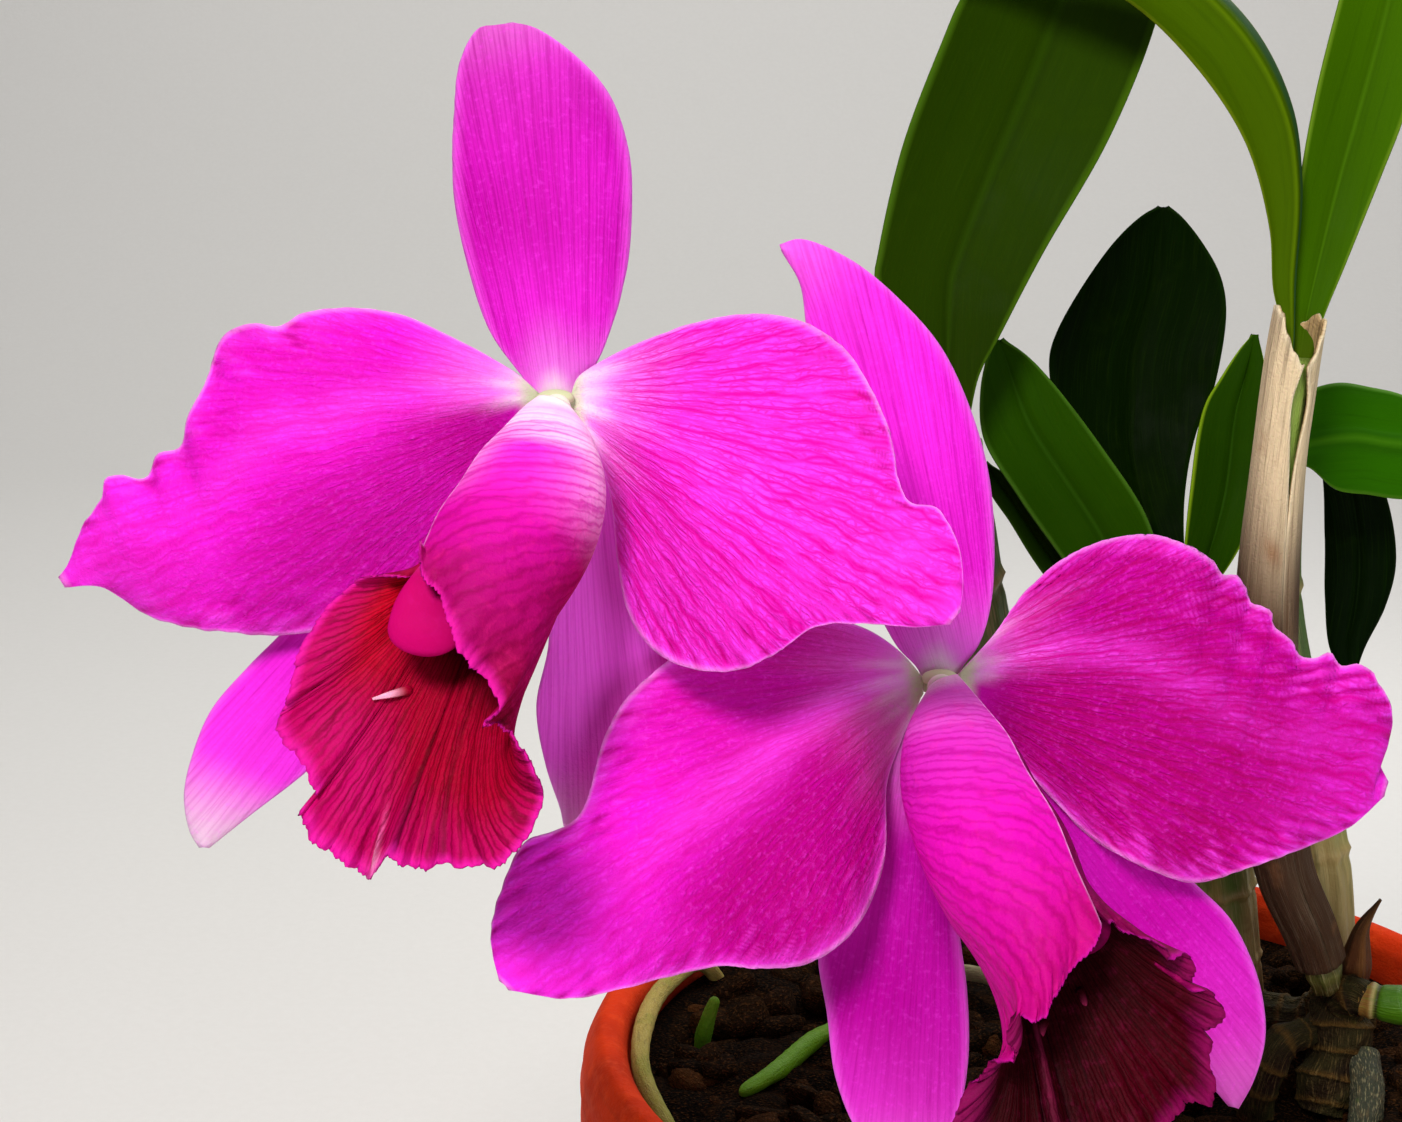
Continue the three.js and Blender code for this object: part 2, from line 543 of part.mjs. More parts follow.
// Leaves. Edges run from the leaf's foot on its pseudobulb to its tip, in the foliage plane.
const leaves = {
  leaf_tall: {
    seat: [-27.5, -18.6, 291.4], rows: 14, columns: 4, rise: [4, 4, 0, -8, -22],
    sides: [[0, 3, 4, 3, 1], [0, 3, 4, 3, 1]],
    edges: [
      [[-47, -3], [-56.5, 11.5], [-62, 24.5], [-61.5, 29], [-57, 49], [-49.5, 69], [-46, 77],
        [-38.5, 88.5], [-29, 97], [-21, 101]],
      [[-43.5, -3], [-41.5, 7.5], [-38, 14], [-29.5, 30], [-17.5, 50.5], [-9, 71], [-6, 84.5],
        [-9.5, 95], [-17.5, 101]],
    ],
  },
  leaf_arched: {
    seat: [32.4, -31.2, 311.6], rows: 18, columns: 4, rise: [18, 20, 24, 20, 8], middle: 0.8,
    sides: [[0, -2, -3, -3, -1], [0, -3, -5, -4, -1]],
    edges: [
      [[18, 11], [17, 16.5], [15, 23], [14, 34], [9, 50], [-1.5, 65], [-14.5, 77],
        [-30.5, 84], [-42, 85.5], [-51.5, 83]],
      [[19, 11], [19, 24.5], [20, 43.5], [18, 57], [10, 72], [-4, 84.5], [-21, 92.5],
        [-40.5, 91], [-52, 85]],
    ],
  },
  leaf_upright: {
    seat: [35, -29.6, 309], rows: 14, columns: 4, rise: [14, 12, 6, 0, -8],
    sides: [[0, 2, 3, 2, 1], [0, 2, 3, 2, 1]],
    edges: [
      [[20, 10.5], [20, 29], [21, 45], [23, 59.5], [27, 77], [31.5, 94], [37.5, 107.5],
        [43, 116]],
      [[22, 10.5], [23.5, 17.5], [29, 29], [35.5, 45], [39, 54], [44, 71], [47, 88.5],
        [47, 105.5], [44.5, 116.5]],
    ],
  },
  leaf_dark: {
    seat: [20.2, 2.4, 253.2], rows: 12, columns: 4, rise: [-26, -30, -33, -32, -30],
    sides: [[0, 2, 3, 2, 1], [0, 2, 3, 2, 1]],
    edges: [
      [[-9.5, -38.5], [-18, -23], [-26.5, -6], [-29, 7], [-27.5, 13], [-17.5, 29],
        [-11.5, 35], [-8, 37]],
      [[-5.5, -38.5], [-4, -18.5], [-1, -6], [2, 0.5], [5, 16.5], [4, 23.5], [0.5, 30],
        [-3.5, 35], [-6, 37]],
    ],
  },
  leaf_leaning: {
    seat: [8.7, -9.8, 247.9], rows: 12, columns: 4, rise: [-15, -13, -12, -12, -12],
    sides: [[0, 2, 3, 2, 1], [0, 2, 3, 2, 1]],
    edges: [
      [[-15, -46], [-26.5, -30], [-35, -18.5], [-41.5, -7.5], [-42, 1.5], [-40.5, 8.5],
        [-39, 11.5]],
      [[-11.5, -46], [-7.5, -33.5], [-10, -23], [-18.5, -9.5], [-29, 4], [-33.5, 8.5],
        [-38, 11.5]],
    ],
  },
  leaf_narrow: {
    seat: [21.8, -0.4, 253], rows: 12, columns: 4, rise: [-22, -21, -21, -20, -18],
    sides: [[0, 1, 2, 1, 0], [0, 1, 2, 1, 0]],
    edges: [
      [[-1.5, -39.5], [-2, -27], [-1.5, -17], [1, -1.5], [4, 4], [7.5, 9.5], [10, 12.5]],
      [[2, -39.5], [7.5, -30.5], [12, -19], [13, -6], [12.5, 6], [11, 12.5]],
    ],
  },
  leaf_bright: {
    seat: [38.6, -7.8, 284.2], rows: 12, columns: 4, rise: [-11, -11, -15, -22, -30],
    sides: [[0, -1, -2, -1, 0], [0, -1, -2, -1, 0]],
    edges: [
      [[15, -9.5], [15.5, -2.5], [20, 2], [26, 3.5], [32.5, 2.5], [39, 1], [47, -3.5],
        [54, -10]],
      [[18, -9.5], [21, -11.5], [26, -16.5], [32.5, -18], [39, -19], [46, -17.5],
        [53.5, -11.5]],
    ],
  },
  leaf_drooping: {
    seat: [38.5, -4.2, 283.2], rows: 12, columns: 4, rise: [-15, -24, -32, -36, -38],
    sides: [[0, -1, -2, -1, 0], [0, -1, -2, -1, 0]],
    edges: [
      [[15, -9.5], [17, -4], [22.5, -10], [24, -26], [24, -38], [25, -48], [28.5, -54]],
      [[17.5, -9.5], [21, -2.5], [28, -5], [33.5, -13], [36.5, -22], [37.5, -32], [35.5, -40],
        [31.5, -48], [29.5, -54]],
    ],
  },
  leaf_slim: {
    seat: [8.8, -6.6, 248.9], rows: 10, columns: 2, rise: [-20, -23, -25, -25, -25],
    sides: [[0, 1, 1, 1, 0], [0, 1, 1, 1, 0]],
    edges: [
      [[-14.5, -47], [-25, -39], [-31.5, -31], [-36.5, -23.5], [-40.5, -17.5], [-41.5, -12.5]],
      [[-12, -46.5], [-22, -34.5], [-30, -24.5], [-36, -15.5], [-41, -12]],
    ],
  },
};
const leafColours = {
  leaf_tall: 0x3c6a1c,
  leaf_arched: 0x6c9a34,
  leaf_upright: 0x5a8c2c,
  leaf_dark: 0x2a5018,
  leaf_leaning: 0x3f7420,
  leaf_narrow: 0x4a8424,
  leaf_bright: 0x4c9a2c,
  leaf_drooping: 0x2c4f22,
  leaf_slim: 0x36611f,
};
Object.entries(leaves).forEach(([name, leaf]) => {
  const grid = bladeGrid(foliage, leaf, leaf.rows, leaf.columns);
  const middle = grid[0][leaf.columns / 2];
  const shift = new THREE.Vector3(...leaf.seat).sub(middle);
  grid.forEach((row, i) => {
    const share = (1 - i / leaf.rows) ** 4;
    row.forEach((point) => point.addScaledVector(shift, share));
  });
  add(name, bladeBody(grid, leafThickness), leafColours[name], 0.5);
});

// Lips. The tube's rings run from the claw to the throat: [x, y, z, half width, half depth].
// Each margin station has the angle of its column around the tube and its own point.
const lips = {
  left_lip: {
    origin: leftBloom, across: [0.927, -0.376, 0], back: [0.194, 0.477, 0.858],
    rings: [[0.2, -1.3, 3.2, 2.5, 2.1], [0.3, -4.8, 6, 5.8, 4.3], [-0.6, -9.8, 9.5, 8.9, 6.8],
      [-2.5, -14.5, 12.5, 11, 8.5], [-5, -20, 16, 12, 9.5], [-8, -25, 19.5, 12.5, 10],
      [-11, -30.5, 23, 12, 9.5]],
    margin: [
      [170, -21.5, -24, 29], [150, -20.5, -29.5, 31], [125, -18.5, -33.5, 34], [100, -16, -37, 36.5],
      [75, -13.5, -42, 38.5], [50, -11.5, -45, 40], [25, -9, -50, 41], [8, -11.5, -52.5, 40],
      [-5, -9.5, -53.5, 41], [-18, -6, -56, 42], [-28, -3, -60.5, 41.5], [-38, -2, -66.5, 41],
      [-48, -5.5, -72.5, 40], [-58, -10, -75.5, 39], [-68, -17.5, -76.5, 37.5],
      [-80, -24, -75.5, 36], [-92, -30.5, -78.5, 34], [-100, -35, -75, 33], [-108, -39, -71.5, 32],
      [-116, -42, -68, 31], [-124, -39, -64, 30], [-132, -42, -57.5, 28],
      [-140, -46, -53.5, 26], [-148, -43.5, -48.5, 25], [-157, -41.5, -41.5, 24],
      [-166, -38.5, -35, 23.5], [-175, -32.5, -29.5, 24], [-184, -27, -28.5, 25.5],
      [-192, -22.5, -29.5, 27.5], [-200, -20.5, -30, 28.5],
    ],
  },
  right_lip: {
    origin: rightBloom, across: [0.928, 0.373, 0], back: [-0.167, 0.415, 0.894],
    rings: [[0.5, -1.1, 3.2, 2.5, 2.1], [0.6, -5.3, 6, 5.8, 4.3], [1.4, -9.3, 9, 8.1, 6.4],
      [3.5, -15, 12.5, 10.5, 8], [6, -21.5, 16, 11.5, 9], [10, -29.5, 20, 12.5, 9.5],
      [13.5, -37, 23, 12, 9]],
    margin: [
      [14, 27, -41, 33], [35, 25.5, -44.5, 35], [60, 21.5, -50.5, 38], [85, 18.5, -54, 39],
      [110, 16, -57.5, 39], [135, 11.5, -58.5, 38], [155, 11, -62.5, 37], [170, 6.5, -67.5, 36],
      [182, 3, -71.5, 35], [193, 1.5, -77, 34], [204, 2, -83, 34], [214, 6, -88, 35],
      [224, 11, -91, 35.5], [235, 17, -90.5, 36], [247, 22, -93.5, 35.5], [258, 28, -91, 34],
      [268, 33, -86.5, 33], [278, 36, -81, 31.5], [288, 38.5, -75, 30], [298, 44, -71, 27],
      [308, 45.5, -66, 25.5], [317, 45, -60.5, 24], [326, 47, -56, 22.5], [335, 42.5, -51.5, 22.5],
      [344, 41.5, -47, 22.5], [353, 36, -43.5, 23.5], [363, 31, -42, 26], [374, 28.5, -41, 29],
    ],
  },
};
const lipRows = 10;
const lipColumns = 29;
const tubeShare = 0.56;
const seamLift = 1;
const seamShare = 0.22;
const flareReach = 0.35;
const frillDepth = 1.3;
const frillReach = 0.8;
const frillCount = 10;

function lipGrid(lip, rows, columns) {
  const across = new THREE.Vector3(...lip.across);
  const back = new THREE.Vector3(...lip.back);
  const forward = across.clone().cross(back);
  const ringAt = (part, angle, lift) => {
    const [x, y, z, halfWidth, halfDepth] = [0, 1, 2, 3, 4].map((k) => {
      return valueAlong(lip.rings.map((ring) => ring[k]), part);
    });
    const point = new THREE.Vector3(x, y, z);
    point.addScaledVector(across, (halfWidth + lift) * Math.cos(angle));
    return point.addScaledVector(back, (halfDepth + lift) * Math.sin(angle));
  };
  const marginValue = (k, part) => valueAlong(lip.margin.map((station) => station[k]), part);
  const grid = [];
  for (let i = 0; i <= rows; i += 1) {
    const r = i / rows;
    const row = [];
    for (let j = 0; j <= columns; j += 1) {
      const part = j / columns;
      const angle = THREE.MathUtils.degToRad(marginValue(0, part));
      const outer = Math.max(0, 1 - part / seamShare);
      const inner = Math.max(0, 1 - (1 - part) / seamShare);
      const lift = seamLift * (outer - inner);
      const point = ringAt(Math.min(r / tubeShare, 1), angle, lift);
      if (r > tubeShare) {
        const f = (r - tubeShare) / (1 - tubeShare);
        const frill = Math.sin(2 * Math.PI * frillCount * part);
        const end = new THREE.Vector3(...[1, 2, 3].map((k) => marginValue(k, part)));
        const length = end.distanceTo(point);
        end.addScaledVector(end.clone().sub(point), (frillReach * frill) / length);
        const bend = point.clone().addScaledVector(forward, flareReach * length);
        point.lerp(bend, (2 * f) / (1 + f)).lerp(end, f * f);
        point.z += frillDepth * f ** 3 * frill;
      }
      row.push(placeAt(lip.origin, point.x, point.y, point.z));
    }
    grid.push(row);
  }
  return grid;
}
Object.entries(lips).forEach(([name, lip]) => {
  add(name, bladeBody(lipGrid(lip, lipRows, lipColumns), lipThickness), 0xb3103f, 0.6);
});

// Columns: club-shaped, inside the tubes.
const columns = {
  left_column: { origin: leftBloom, path: [[0, 0, -2], [0, -1.4, 2.6], [-3.6, -9, 9.5], [-9.4, -20, 17],
    [-15.6, -29.5, 22.5], [-21, -39.2, 25]] },
  right_column: { origin: rightBloom, path: [[0, 0, -2], [0.4, -1.4, 2.6], [4, -9, 9.5], [9, -20, 16],
    [15, -31, 20.5], [22.6, -41.5, 24]] },
};
Object.entries(columns).forEach(([name, column]) => {
  const line = smoothLine(column.path.map(([x, y, z]) => placeAt(column.origin, x, y, z).toArray()));
  add(name, stemBody(line, [claspRadius, 1.2, 2.4, 3.3, 4.2, 5.4, 4.2], 9, 12), 0xe23ab8, 0.5);
});

// Flower stalk: a peduncle that forks into two pedicels, each swelling into a receptacle.
const forkPoint = [-32, -35, 290.5];
const stalkLine = smoothLine([[-28.6, -25, 287.5], [-30.4, -30, 289.2], forkPoint]);
const pedicels = [
  { end: leftBloom, path: [forkPoint, [-49, -38, 295], [-77, -49, 301], [-94, -68, 306]] },
  { end: rightBloom, path: [forkPoint, [-32, -46, 277], [-34, -62, 264]] },
];
const stalk = pedicels.reduce((sum, pedicel) => {
  const cup = [-9, -3].map((z) => placeAt(pedicel.end, 0, 0, z).toArray());
  const line = smoothLine([...pedicel.path, ...cup]);
  return sum.add(toSolid(stemBody(line, [2.2, 2, 2, 2.2, 2.8, 3.3], 6, 10)));
}, toSolid(stemBody(stalkLine, [2.4, 2.4, 2.6], 6, 3)));
add("flower_stalk", fromSolid(stalk), 0x86a04e, 0.5);

export default plant;
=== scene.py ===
# Cattleya orchid in a clay pot: finer petals, lips, leaves, stems and bark over the solid frame.
import math
import random
import bpy
import numpy as np
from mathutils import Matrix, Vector


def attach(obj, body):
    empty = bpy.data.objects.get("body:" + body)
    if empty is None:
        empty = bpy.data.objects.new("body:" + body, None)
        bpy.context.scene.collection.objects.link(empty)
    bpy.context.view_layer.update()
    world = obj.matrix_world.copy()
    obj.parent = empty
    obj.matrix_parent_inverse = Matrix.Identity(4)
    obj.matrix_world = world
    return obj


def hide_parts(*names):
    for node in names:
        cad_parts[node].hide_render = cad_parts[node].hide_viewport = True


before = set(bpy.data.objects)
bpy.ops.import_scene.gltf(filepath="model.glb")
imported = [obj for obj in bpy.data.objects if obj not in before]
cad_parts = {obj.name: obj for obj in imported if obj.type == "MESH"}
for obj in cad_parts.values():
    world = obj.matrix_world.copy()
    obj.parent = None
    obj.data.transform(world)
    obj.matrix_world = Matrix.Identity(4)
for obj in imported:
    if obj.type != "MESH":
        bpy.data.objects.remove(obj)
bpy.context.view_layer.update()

mm = 0.001
right3 = np.array([1.0, 0.0, 0.0])
planeLean = math.radians(75.9)  # the flowers' outlines lie in planes that lean back by this
planeUp = np.array([0, math.cos(planeLean), math.sin(planeLean)])
planeOut = np.array([0, -math.sin(planeLean), math.cos(planeLean)])
frontPoint = np.array([-76.4, -486.7, 384.6])  # relief runs toward this point
leftBloom = np.array([-100.2, -84.6, 310.7])
rightBloom = np.array([-36.2, -84.2, 262.9])
blooms = {"left": leftBloom, "right": rightBloom}
foliage = np.array([19.4, -13.6, 297.7])


# Places and curves, in millimetres.
def placeAt(origin, x, y, z):
    reach = np.dot(frontPoint - origin, planeOut)
    x, y, z = np.broadcast_arrays(x, y, z)
    point = origin + x[..., None] * right3 + y[..., None] * planeUp
    return point + (frontPoint - point) * (z / reach)[..., None]


def valueAlong(values, t):
    values = np.asarray(values, float)
    last = len(values) - 1
    at = np.clip(t, 0, 1) * last
    cell = np.minimum(np.floor(at).astype(int), last - 1)
    f = at - cell
    a, b, c, d = [values[np.clip(cell + k, 0, last)] for k in (-1, 0, 1, 2)]
    if values.ndim > 1:
        f = f[..., None]
    return b + 0.5 * f * (c - a + f * (2 * a - 5 * b + 4 * c - d + f * (3 * (b - c) + d - a)))


def smoothLine(points, fine=40):  # a smooth line through the points, as many short steps
    p = np.array([list(q) + [0] * (3 - len(q)) for q in points], float)
    p = np.vstack([2 * p[0] - p[1], p, 2 * p[-1] - p[-2]])
    gap = np.maximum(np.linalg.norm(np.diff(p, axis=0), axis=1) ** 0.5, 1e-4)
    out = []
    f = np.linspace(0, 1, fine, endpoint=False)[:, None]
    for k in range(1, len(p) - 2):
        d0, d1, d2 = gap[k - 1], gap[k], gap[k + 1]
        m1 = (p[k] - p[k - 1]) / d0 - (p[k + 1] - p[k - 1]) / (d0 + d1) + (p[k + 1] - p[k]) / d1
        m2 = (p[k + 1] - p[k]) / d1 - (p[k + 2] - p[k]) / (d1 + d2) + (p[k + 2] - p[k + 1]) / d2
        m1, m2 = m1 * d1, m2 * d1
        c2 = 3 * (p[k + 1] - p[k]) - 2 * m1 - m2
        c3 = 2 * (p[k] - p[k + 1]) + m1 + m2
        out.append(p[k] + m1 * f + c2 * f ** 2 + c3 * f ** 3)
    out.append(p[-2][None])
    return np.vstack(out)


def pointsAt(line, t):
    length = np.concatenate([[0], np.cumsum(np.linalg.norm(np.diff(line, axis=0), axis=1))])
    return np.stack([np.interp(np.asarray(t) * length[-1], length, line[:, k]) for k in range(3)], -1)


def lineLength(line):
    return np.linalg.norm(np.diff(line, axis=0), axis=1).sum()


def ease(low, high, x):
    f = np.clip((x - low) / (high - low), 0, 1)
    return f * f * (3 - 2 * f)


def bell(centre, width, x):
    return np.exp(-((x - centre) / width) ** 2)


def turnsOf(sides):  # even angles once around
    return np.linspace(0, 2 * math.pi, sides, endpoint=False)[None, :]


def unit(ways):
    return ways / np.linalg.norm(ways, axis=-1, keepdims=True)


def softNoise(x, y, seed, waves=7):  # smooth and seeded, mostly between -1 and 1
    draw = random.Random(seed)
    total = 0
    for _ in range(waves):
        turn = draw.uniform(0, 2 * math.pi)
        size = draw.uniform(0.5, 1.7)
        phase = draw.uniform(0, 2 * math.pi)
        total = total + np.sin(size * (x * math.cos(turn) + y * math.sin(turn)) + phase)
    return total / math.sqrt(waves)


def roundNoise(turn, size, along, seed):  # the same, closing around a stem
    return softNoise(size * np.cos(turn) + along, size * np.sin(turn), seed)


def paint(code):  # a colour such as e04fd0 as linear red, green and blue
    c = np.array([int(code[k:k + 2], 16) for k in (0, 2, 4)]) / 255
    return np.where(c <= 0.04045, c / 12.92, ((c + 0.055) / 1.055) ** 2.4)


def mixed(a, b, share):
    share = np.asarray(share)[..., None]
    return a * (1 - share) + b * share


def tinted(colour, code, share):
    return mixed(colour, paint(code), share)


# Mesh makers. A part is a dictionary of points, faces, corner uvs and values on its points: its tint, the
# place that its patterns run on, in millimetres, and how strongly its veins show.
valueKinds = {"tint": ("FLOAT_COLOR", "color"), "veinPlace": ("FLOAT_VECTOR", "vector"),
              "veinShow": ("FLOAT", "value"), "inside": ("FLOAT", "value")}


def meshFrom(name, parts, tiles=None):
    points, corners, sizes, uvs, first = [], [], [], [], 0
    for k, part in enumerate(parts):
        for faces in part["faces"]:
            corners.append(faces.reshape(-1) + first)
            sizes.append(np.full(len(faces), faces.shape[1], np.int32))
        points.append(part["points"].reshape(-1, 3))
        first += len(points[-1])
        u0, v0, u1, v1 = tiles[k] if tiles else (k / len(parts), 0, (k + 1) / len(parts), 1)
        uvs.append(part["uvs"] * [u1 - u0, v1 - v0] + [u0, v0])
    points = np.concatenate(points)
    corners = np.concatenate(corners).astype(np.int32)
    sizes = np.concatenate(sizes)
    mesh = bpy.data.meshes.new(name)
    mesh.vertices.add(len(points))
    mesh.vertices.foreach_set("co", (points * mm).astype(np.float32).reshape(-1))
    mesh.loops.add(len(corners))
    mesh.loops.foreach_set("vertex_index", corners)
    mesh.polygons.add(len(sizes))
    mesh.polygons.foreach_set("loop_start", np.concatenate([[0], np.cumsum(sizes)[:-1]]).astype(np.int32))
    mesh.polygons.foreach_set("loop_total", sizes)
    mesh.update(calc_edges=True)
    layer = mesh.uv_layers.new(name="OFBake")
    layer.data.foreach_set("uv", np.concatenate(uvs).astype(np.float32).reshape(-1))
    for title in parts[0]["values"]:
        values = np.concatenate([part["values"][title] for part in parts]).astype(np.float32)
        if title == "tint":
            values = np.concatenate([values, np.ones((len(values), 1), np.float32)], 1)
        kind, field = valueKinds[title]
        holder = mesh.color_attributes if title == "tint" else mesh.attributes
        holder.new(title, kind, "POINT").data.foreach_set(field, values.reshape(-1))
    mesh.shade_smooth()
    thing = bpy.data.objects.new(name, mesh)
    bpy.context.scene.collection.objects.link(thing)
    return thing


def flatValues(values, shape):
    flat = {}
    for title, value in values.items():
        depth = 3 if title in ("tint", "veinPlace") else 1
        full = (*shape, 3) if depth == 3 else shape
        flat[title] = np.broadcast_to(value, full).reshape(-1, depth)
    return flat


def gridNormals(grid):
    normal = np.cross(np.gradient(grid, axis=1), np.gradient(grid, axis=0))
    return normal / np.maximum(np.linalg.norm(normal, axis=-1, keepdims=True), 1e-9)


def bladePart(middle, thickness, front, back):  # a closed thin body around a grid of middle points
    rows, columns = middle.shape[:2]
    count = rows * columns
    half = gridNormals(middle) * (thickness / 2)[..., None]
    index = np.arange(count).reshape(rows, columns)
    face = np.stack([index[:-1, :-1], index[:-1, 1:], index[1:, 1:], index[1:, :-1]], -1).reshape(-1, 4)
    edge = np.concatenate([index[0, :-1], index[:-1, -1], index[-1, :0:-1], index[:0:-1, 0]])
    after = np.roll(edge, -1)
    rim = np.stack([edge, edge + count, after + count, after], -1)
    # the front face fills one half of the uv square, the back the other, with the rim in a strip between
    u, v = np.meshgrid(np.linspace(0.01, 0.99, rows), np.linspace(0.01, 0.485, columns), indexing="ij")
    flat = np.stack([u, v], -1).reshape(-1, 2)
    step = np.linspace(0.01, 0.99, len(edge) + 1)
    low, high = np.full(len(edge), 0.494), np.full(len(edge), 0.506)
    rimUvs = np.stack([step[:-1], low, step[:-1], high, step[1:], high, step[1:], low], -1)
    uvs = [flat[face].reshape(-1, 2), flat[face[:, ::-1]].reshape(-1, 2) + [0, 0.505], rimUvs.reshape(-1, 2)]
    front, back = flatValues(front, (rows, columns)), flatValues(back, (rows, columns))
    return {
        "points": np.concatenate([(middle + half).reshape(-1, 3), (middle - half).reshape(-1, 3)]),
        "faces": [face, face[:, ::-1] + count, rim], "uvs": np.concatenate(uvs),
        "values": {title: np.concatenate([front[title], back[title]]) for title in front},
    }


def stemRings(line, radii, sides, steps, shape=None):  # rings of points around a line
    t = np.linspace(0, 1, steps + 1)
    centre = pointsAt(line, t)
    tangent = unit(np.gradient(centre, axis=0))
    normal = np.cross(tangent[0], [0.3, 1, 0.2])
    frames = []
    for way in tangent:
        normal = unit(normal - way * np.dot(normal, way))
        frames.append([normal, np.cross(way, normal)])
    turn = turnsOf(sides)
    t = t[:, None]
    radius = valueAlong(radii, t) * np.ones((1, sides))
    if shape is not None:
        radius = shape(t, turn, radius)
    frames = np.array(frames)[:, :, None, :]
    offset = np.cos(turn)[..., None] * frames[:, 0] + np.sin(turn)[..., None] * frames[:, 1]
    return centre[:, None, :] + radius[..., None] * offset, t, turn


def stemPart(ring, values):  # a closed stem: its end rings close on a point
    rows, sides = ring.shape[:2]
    count = rows * sides
    index = np.arange(count).reshape(rows, sides)
    after = np.roll(index, -1, axis=1)
    quads = np.stack([index[:-1], after[:-1], after[1:], index[1:]], -1).reshape(-1, 4)
    low = np.stack([np.full(sides, count), after[0], index[0]], -1)
    high = np.stack([np.full(sides, count + 1), index[-1], after[-1]], -1)
    u, v = np.meshgrid(np.arange(sides) / sides, np.linspace(0.05, 0.95, rows), indexing="xy")
    width = 0.98 / sides
    a, b = u[:-1] * 0.98 + 0.01, u[:-1] * 0.98 + 0.01 + width
    quadUvs = np.stack([a, v[:-1], b, v[:-1], b, v[1:], a, v[1:]], -1).reshape(-1, 2)
    a, b, m = a[0], b[0], (a[0] + b[0]) / 2
    lowUvs = np.stack([m, 0 * m + 0.01, b, 0 * m + 0.04, a, 0 * m + 0.04], -1).reshape(-1, 2)
    highUvs = np.stack([m, 0 * m + 0.99, a, 0 * m + 0.96, b, 0 * m + 0.96], -1).reshape(-1, 2)
    flat = flatValues(values, (rows, sides))
    ends = {title: np.stack([v[:sides].mean(0), v[-sides:].mean(0)]) for title, v in flat.items()}
    return {
        "points": np.concatenate([ring.reshape(-1, 3), ring[0].mean(0)[None], ring[-1].mean(0)[None]]),
        "faces": [quads, np.concatenate([low, high])], "uvs": np.concatenate([quadUvs, lowUvs, highUvs]),
        "values": {title: np.concatenate([flat[title], ends[title]]) for title in flat},
    }


def roundPlace(radius, turn, along):  # a place for patterns that closes around a stem
    x, y, z = np.broadcast_arrays(radius * np.cos(turn), along, radius * np.sin(turn))
    return np.stack([x, y, z], -1)


def stand(piece, node, material):  # the piece takes the node's place and its finish
    piece.data.materials.append(material)
    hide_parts(node)
    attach(piece, "root")


def bloomOf(name):
    return blooms[name.split("_")[0]]


def pieceName(node):
    first, *rest = node.split("_")
    return first + "".join(word.capitalize() for word in rest)


def build(node, parts, material, tiles=None):  # one piece of all these parts in the node's place
    stand(meshFrom(pieceName(node), parts, tiles), node, material)


# Shader helpers.
def addNode(material, kind, inputs=None, **settings):
    made = material.node_tree.nodes.new("ShaderNode" + kind)
    for name, value in settings.items():
        setattr(made, name, value)
    for name, value in (inputs or {}).items():
        if isinstance(value, bpy.types.NodeSocket):
            material.node_tree.links.new(value, made.inputs[name])
        else:
            made.inputs[name].default_value = value
    return made


def maths(material, operation, a, b=0.0):
    return addNode(material, "Math", {0: a, 1: b}, operation=operation).outputs[0]


def product(material, a, b):
    return maths(material, "MULTIPLY", a, b)


def scaled(material, vector, scale):
    return addNode(material, "VectorMath", {0: vector, 1: scale}, operation="MULTIPLY").outputs[0]


def spread(material, value, fromLow, fromHigh, toLow, toHigh):
    return addNode(material, "MapRange", {"Value": value, "From Min": fromLow, "From Max": fromHigh,
                                          "To Min": toLow, "To Max": toHigh},
                   interpolation_type="SMOOTHSTEP").outputs["Result"]


def mixColour(material, factor, a, b, blend="MIX"):
    made = addNode(material, "Mix", {0: factor}, data_type="RGBA", blend_type=blend)
    for slot, value in ((6, a), (7, b)):
        if isinstance(value, bpy.types.NodeSocket):
            material.node_tree.links.new(value, made.inputs[slot])
        else:
            made.inputs[slot].default_value = (*value, 1)
    return made.outputs[2]


def attribute(material, name, output):
    return addNode(material, "Attribute", attribute_name=name).outputs[output]


def stained(material, colour, pattern, low, high, share, code):  # a second tint where a pattern is strong
    return mixColour(material, spread(material, pattern, low, high, 0, share), colour, paint(code))


def weighted(material, *terms):  # the sum of patterns, each times its weight
    total = None
    for pattern, weight in terms:
        term = product(material, pattern, weight)
        total = term if total is None else maths(material, "ADD", total, term)
    return total


def noise(material, vector, scale, detail=2.0, roughness=0.5):
    return addNode(material, "TexNoise", {"Vector": vector, "Scale": scale, "Detail": detail,
                                          "Roughness": roughness}).outputs["Fac"]


def cellEdge(material, vector):
    return addNode(material, "TexVoronoi", {"Vector": vector, "Scale": 1.0},
                   feature="DISTANCE_TO_EDGE").outputs["Distance"]


def newMaterial(name, sockets):
    material = bpy.data.materials.new(name)
    material.use_nodes = True
    shader = material.node_tree.nodes["Principled BSDF"]
    for title, value in sockets.items():
        shader.inputs[title].default_value = value
    return material, shader


def finishMaterial(material, shader, colour, height, depth, rough=None):
    links = material.node_tree.links
    links.new(colour, shader.inputs["Base Color"])
    bump = addNode(material, "Bump", {"Height": height, "Distance": depth, "Strength": 1.0})
    links.new(bump.outputs[0], shader.inputs["Normal"])
    if rough is not None:
        links.new(rough, shader.inputs["Roughness"])
    return material


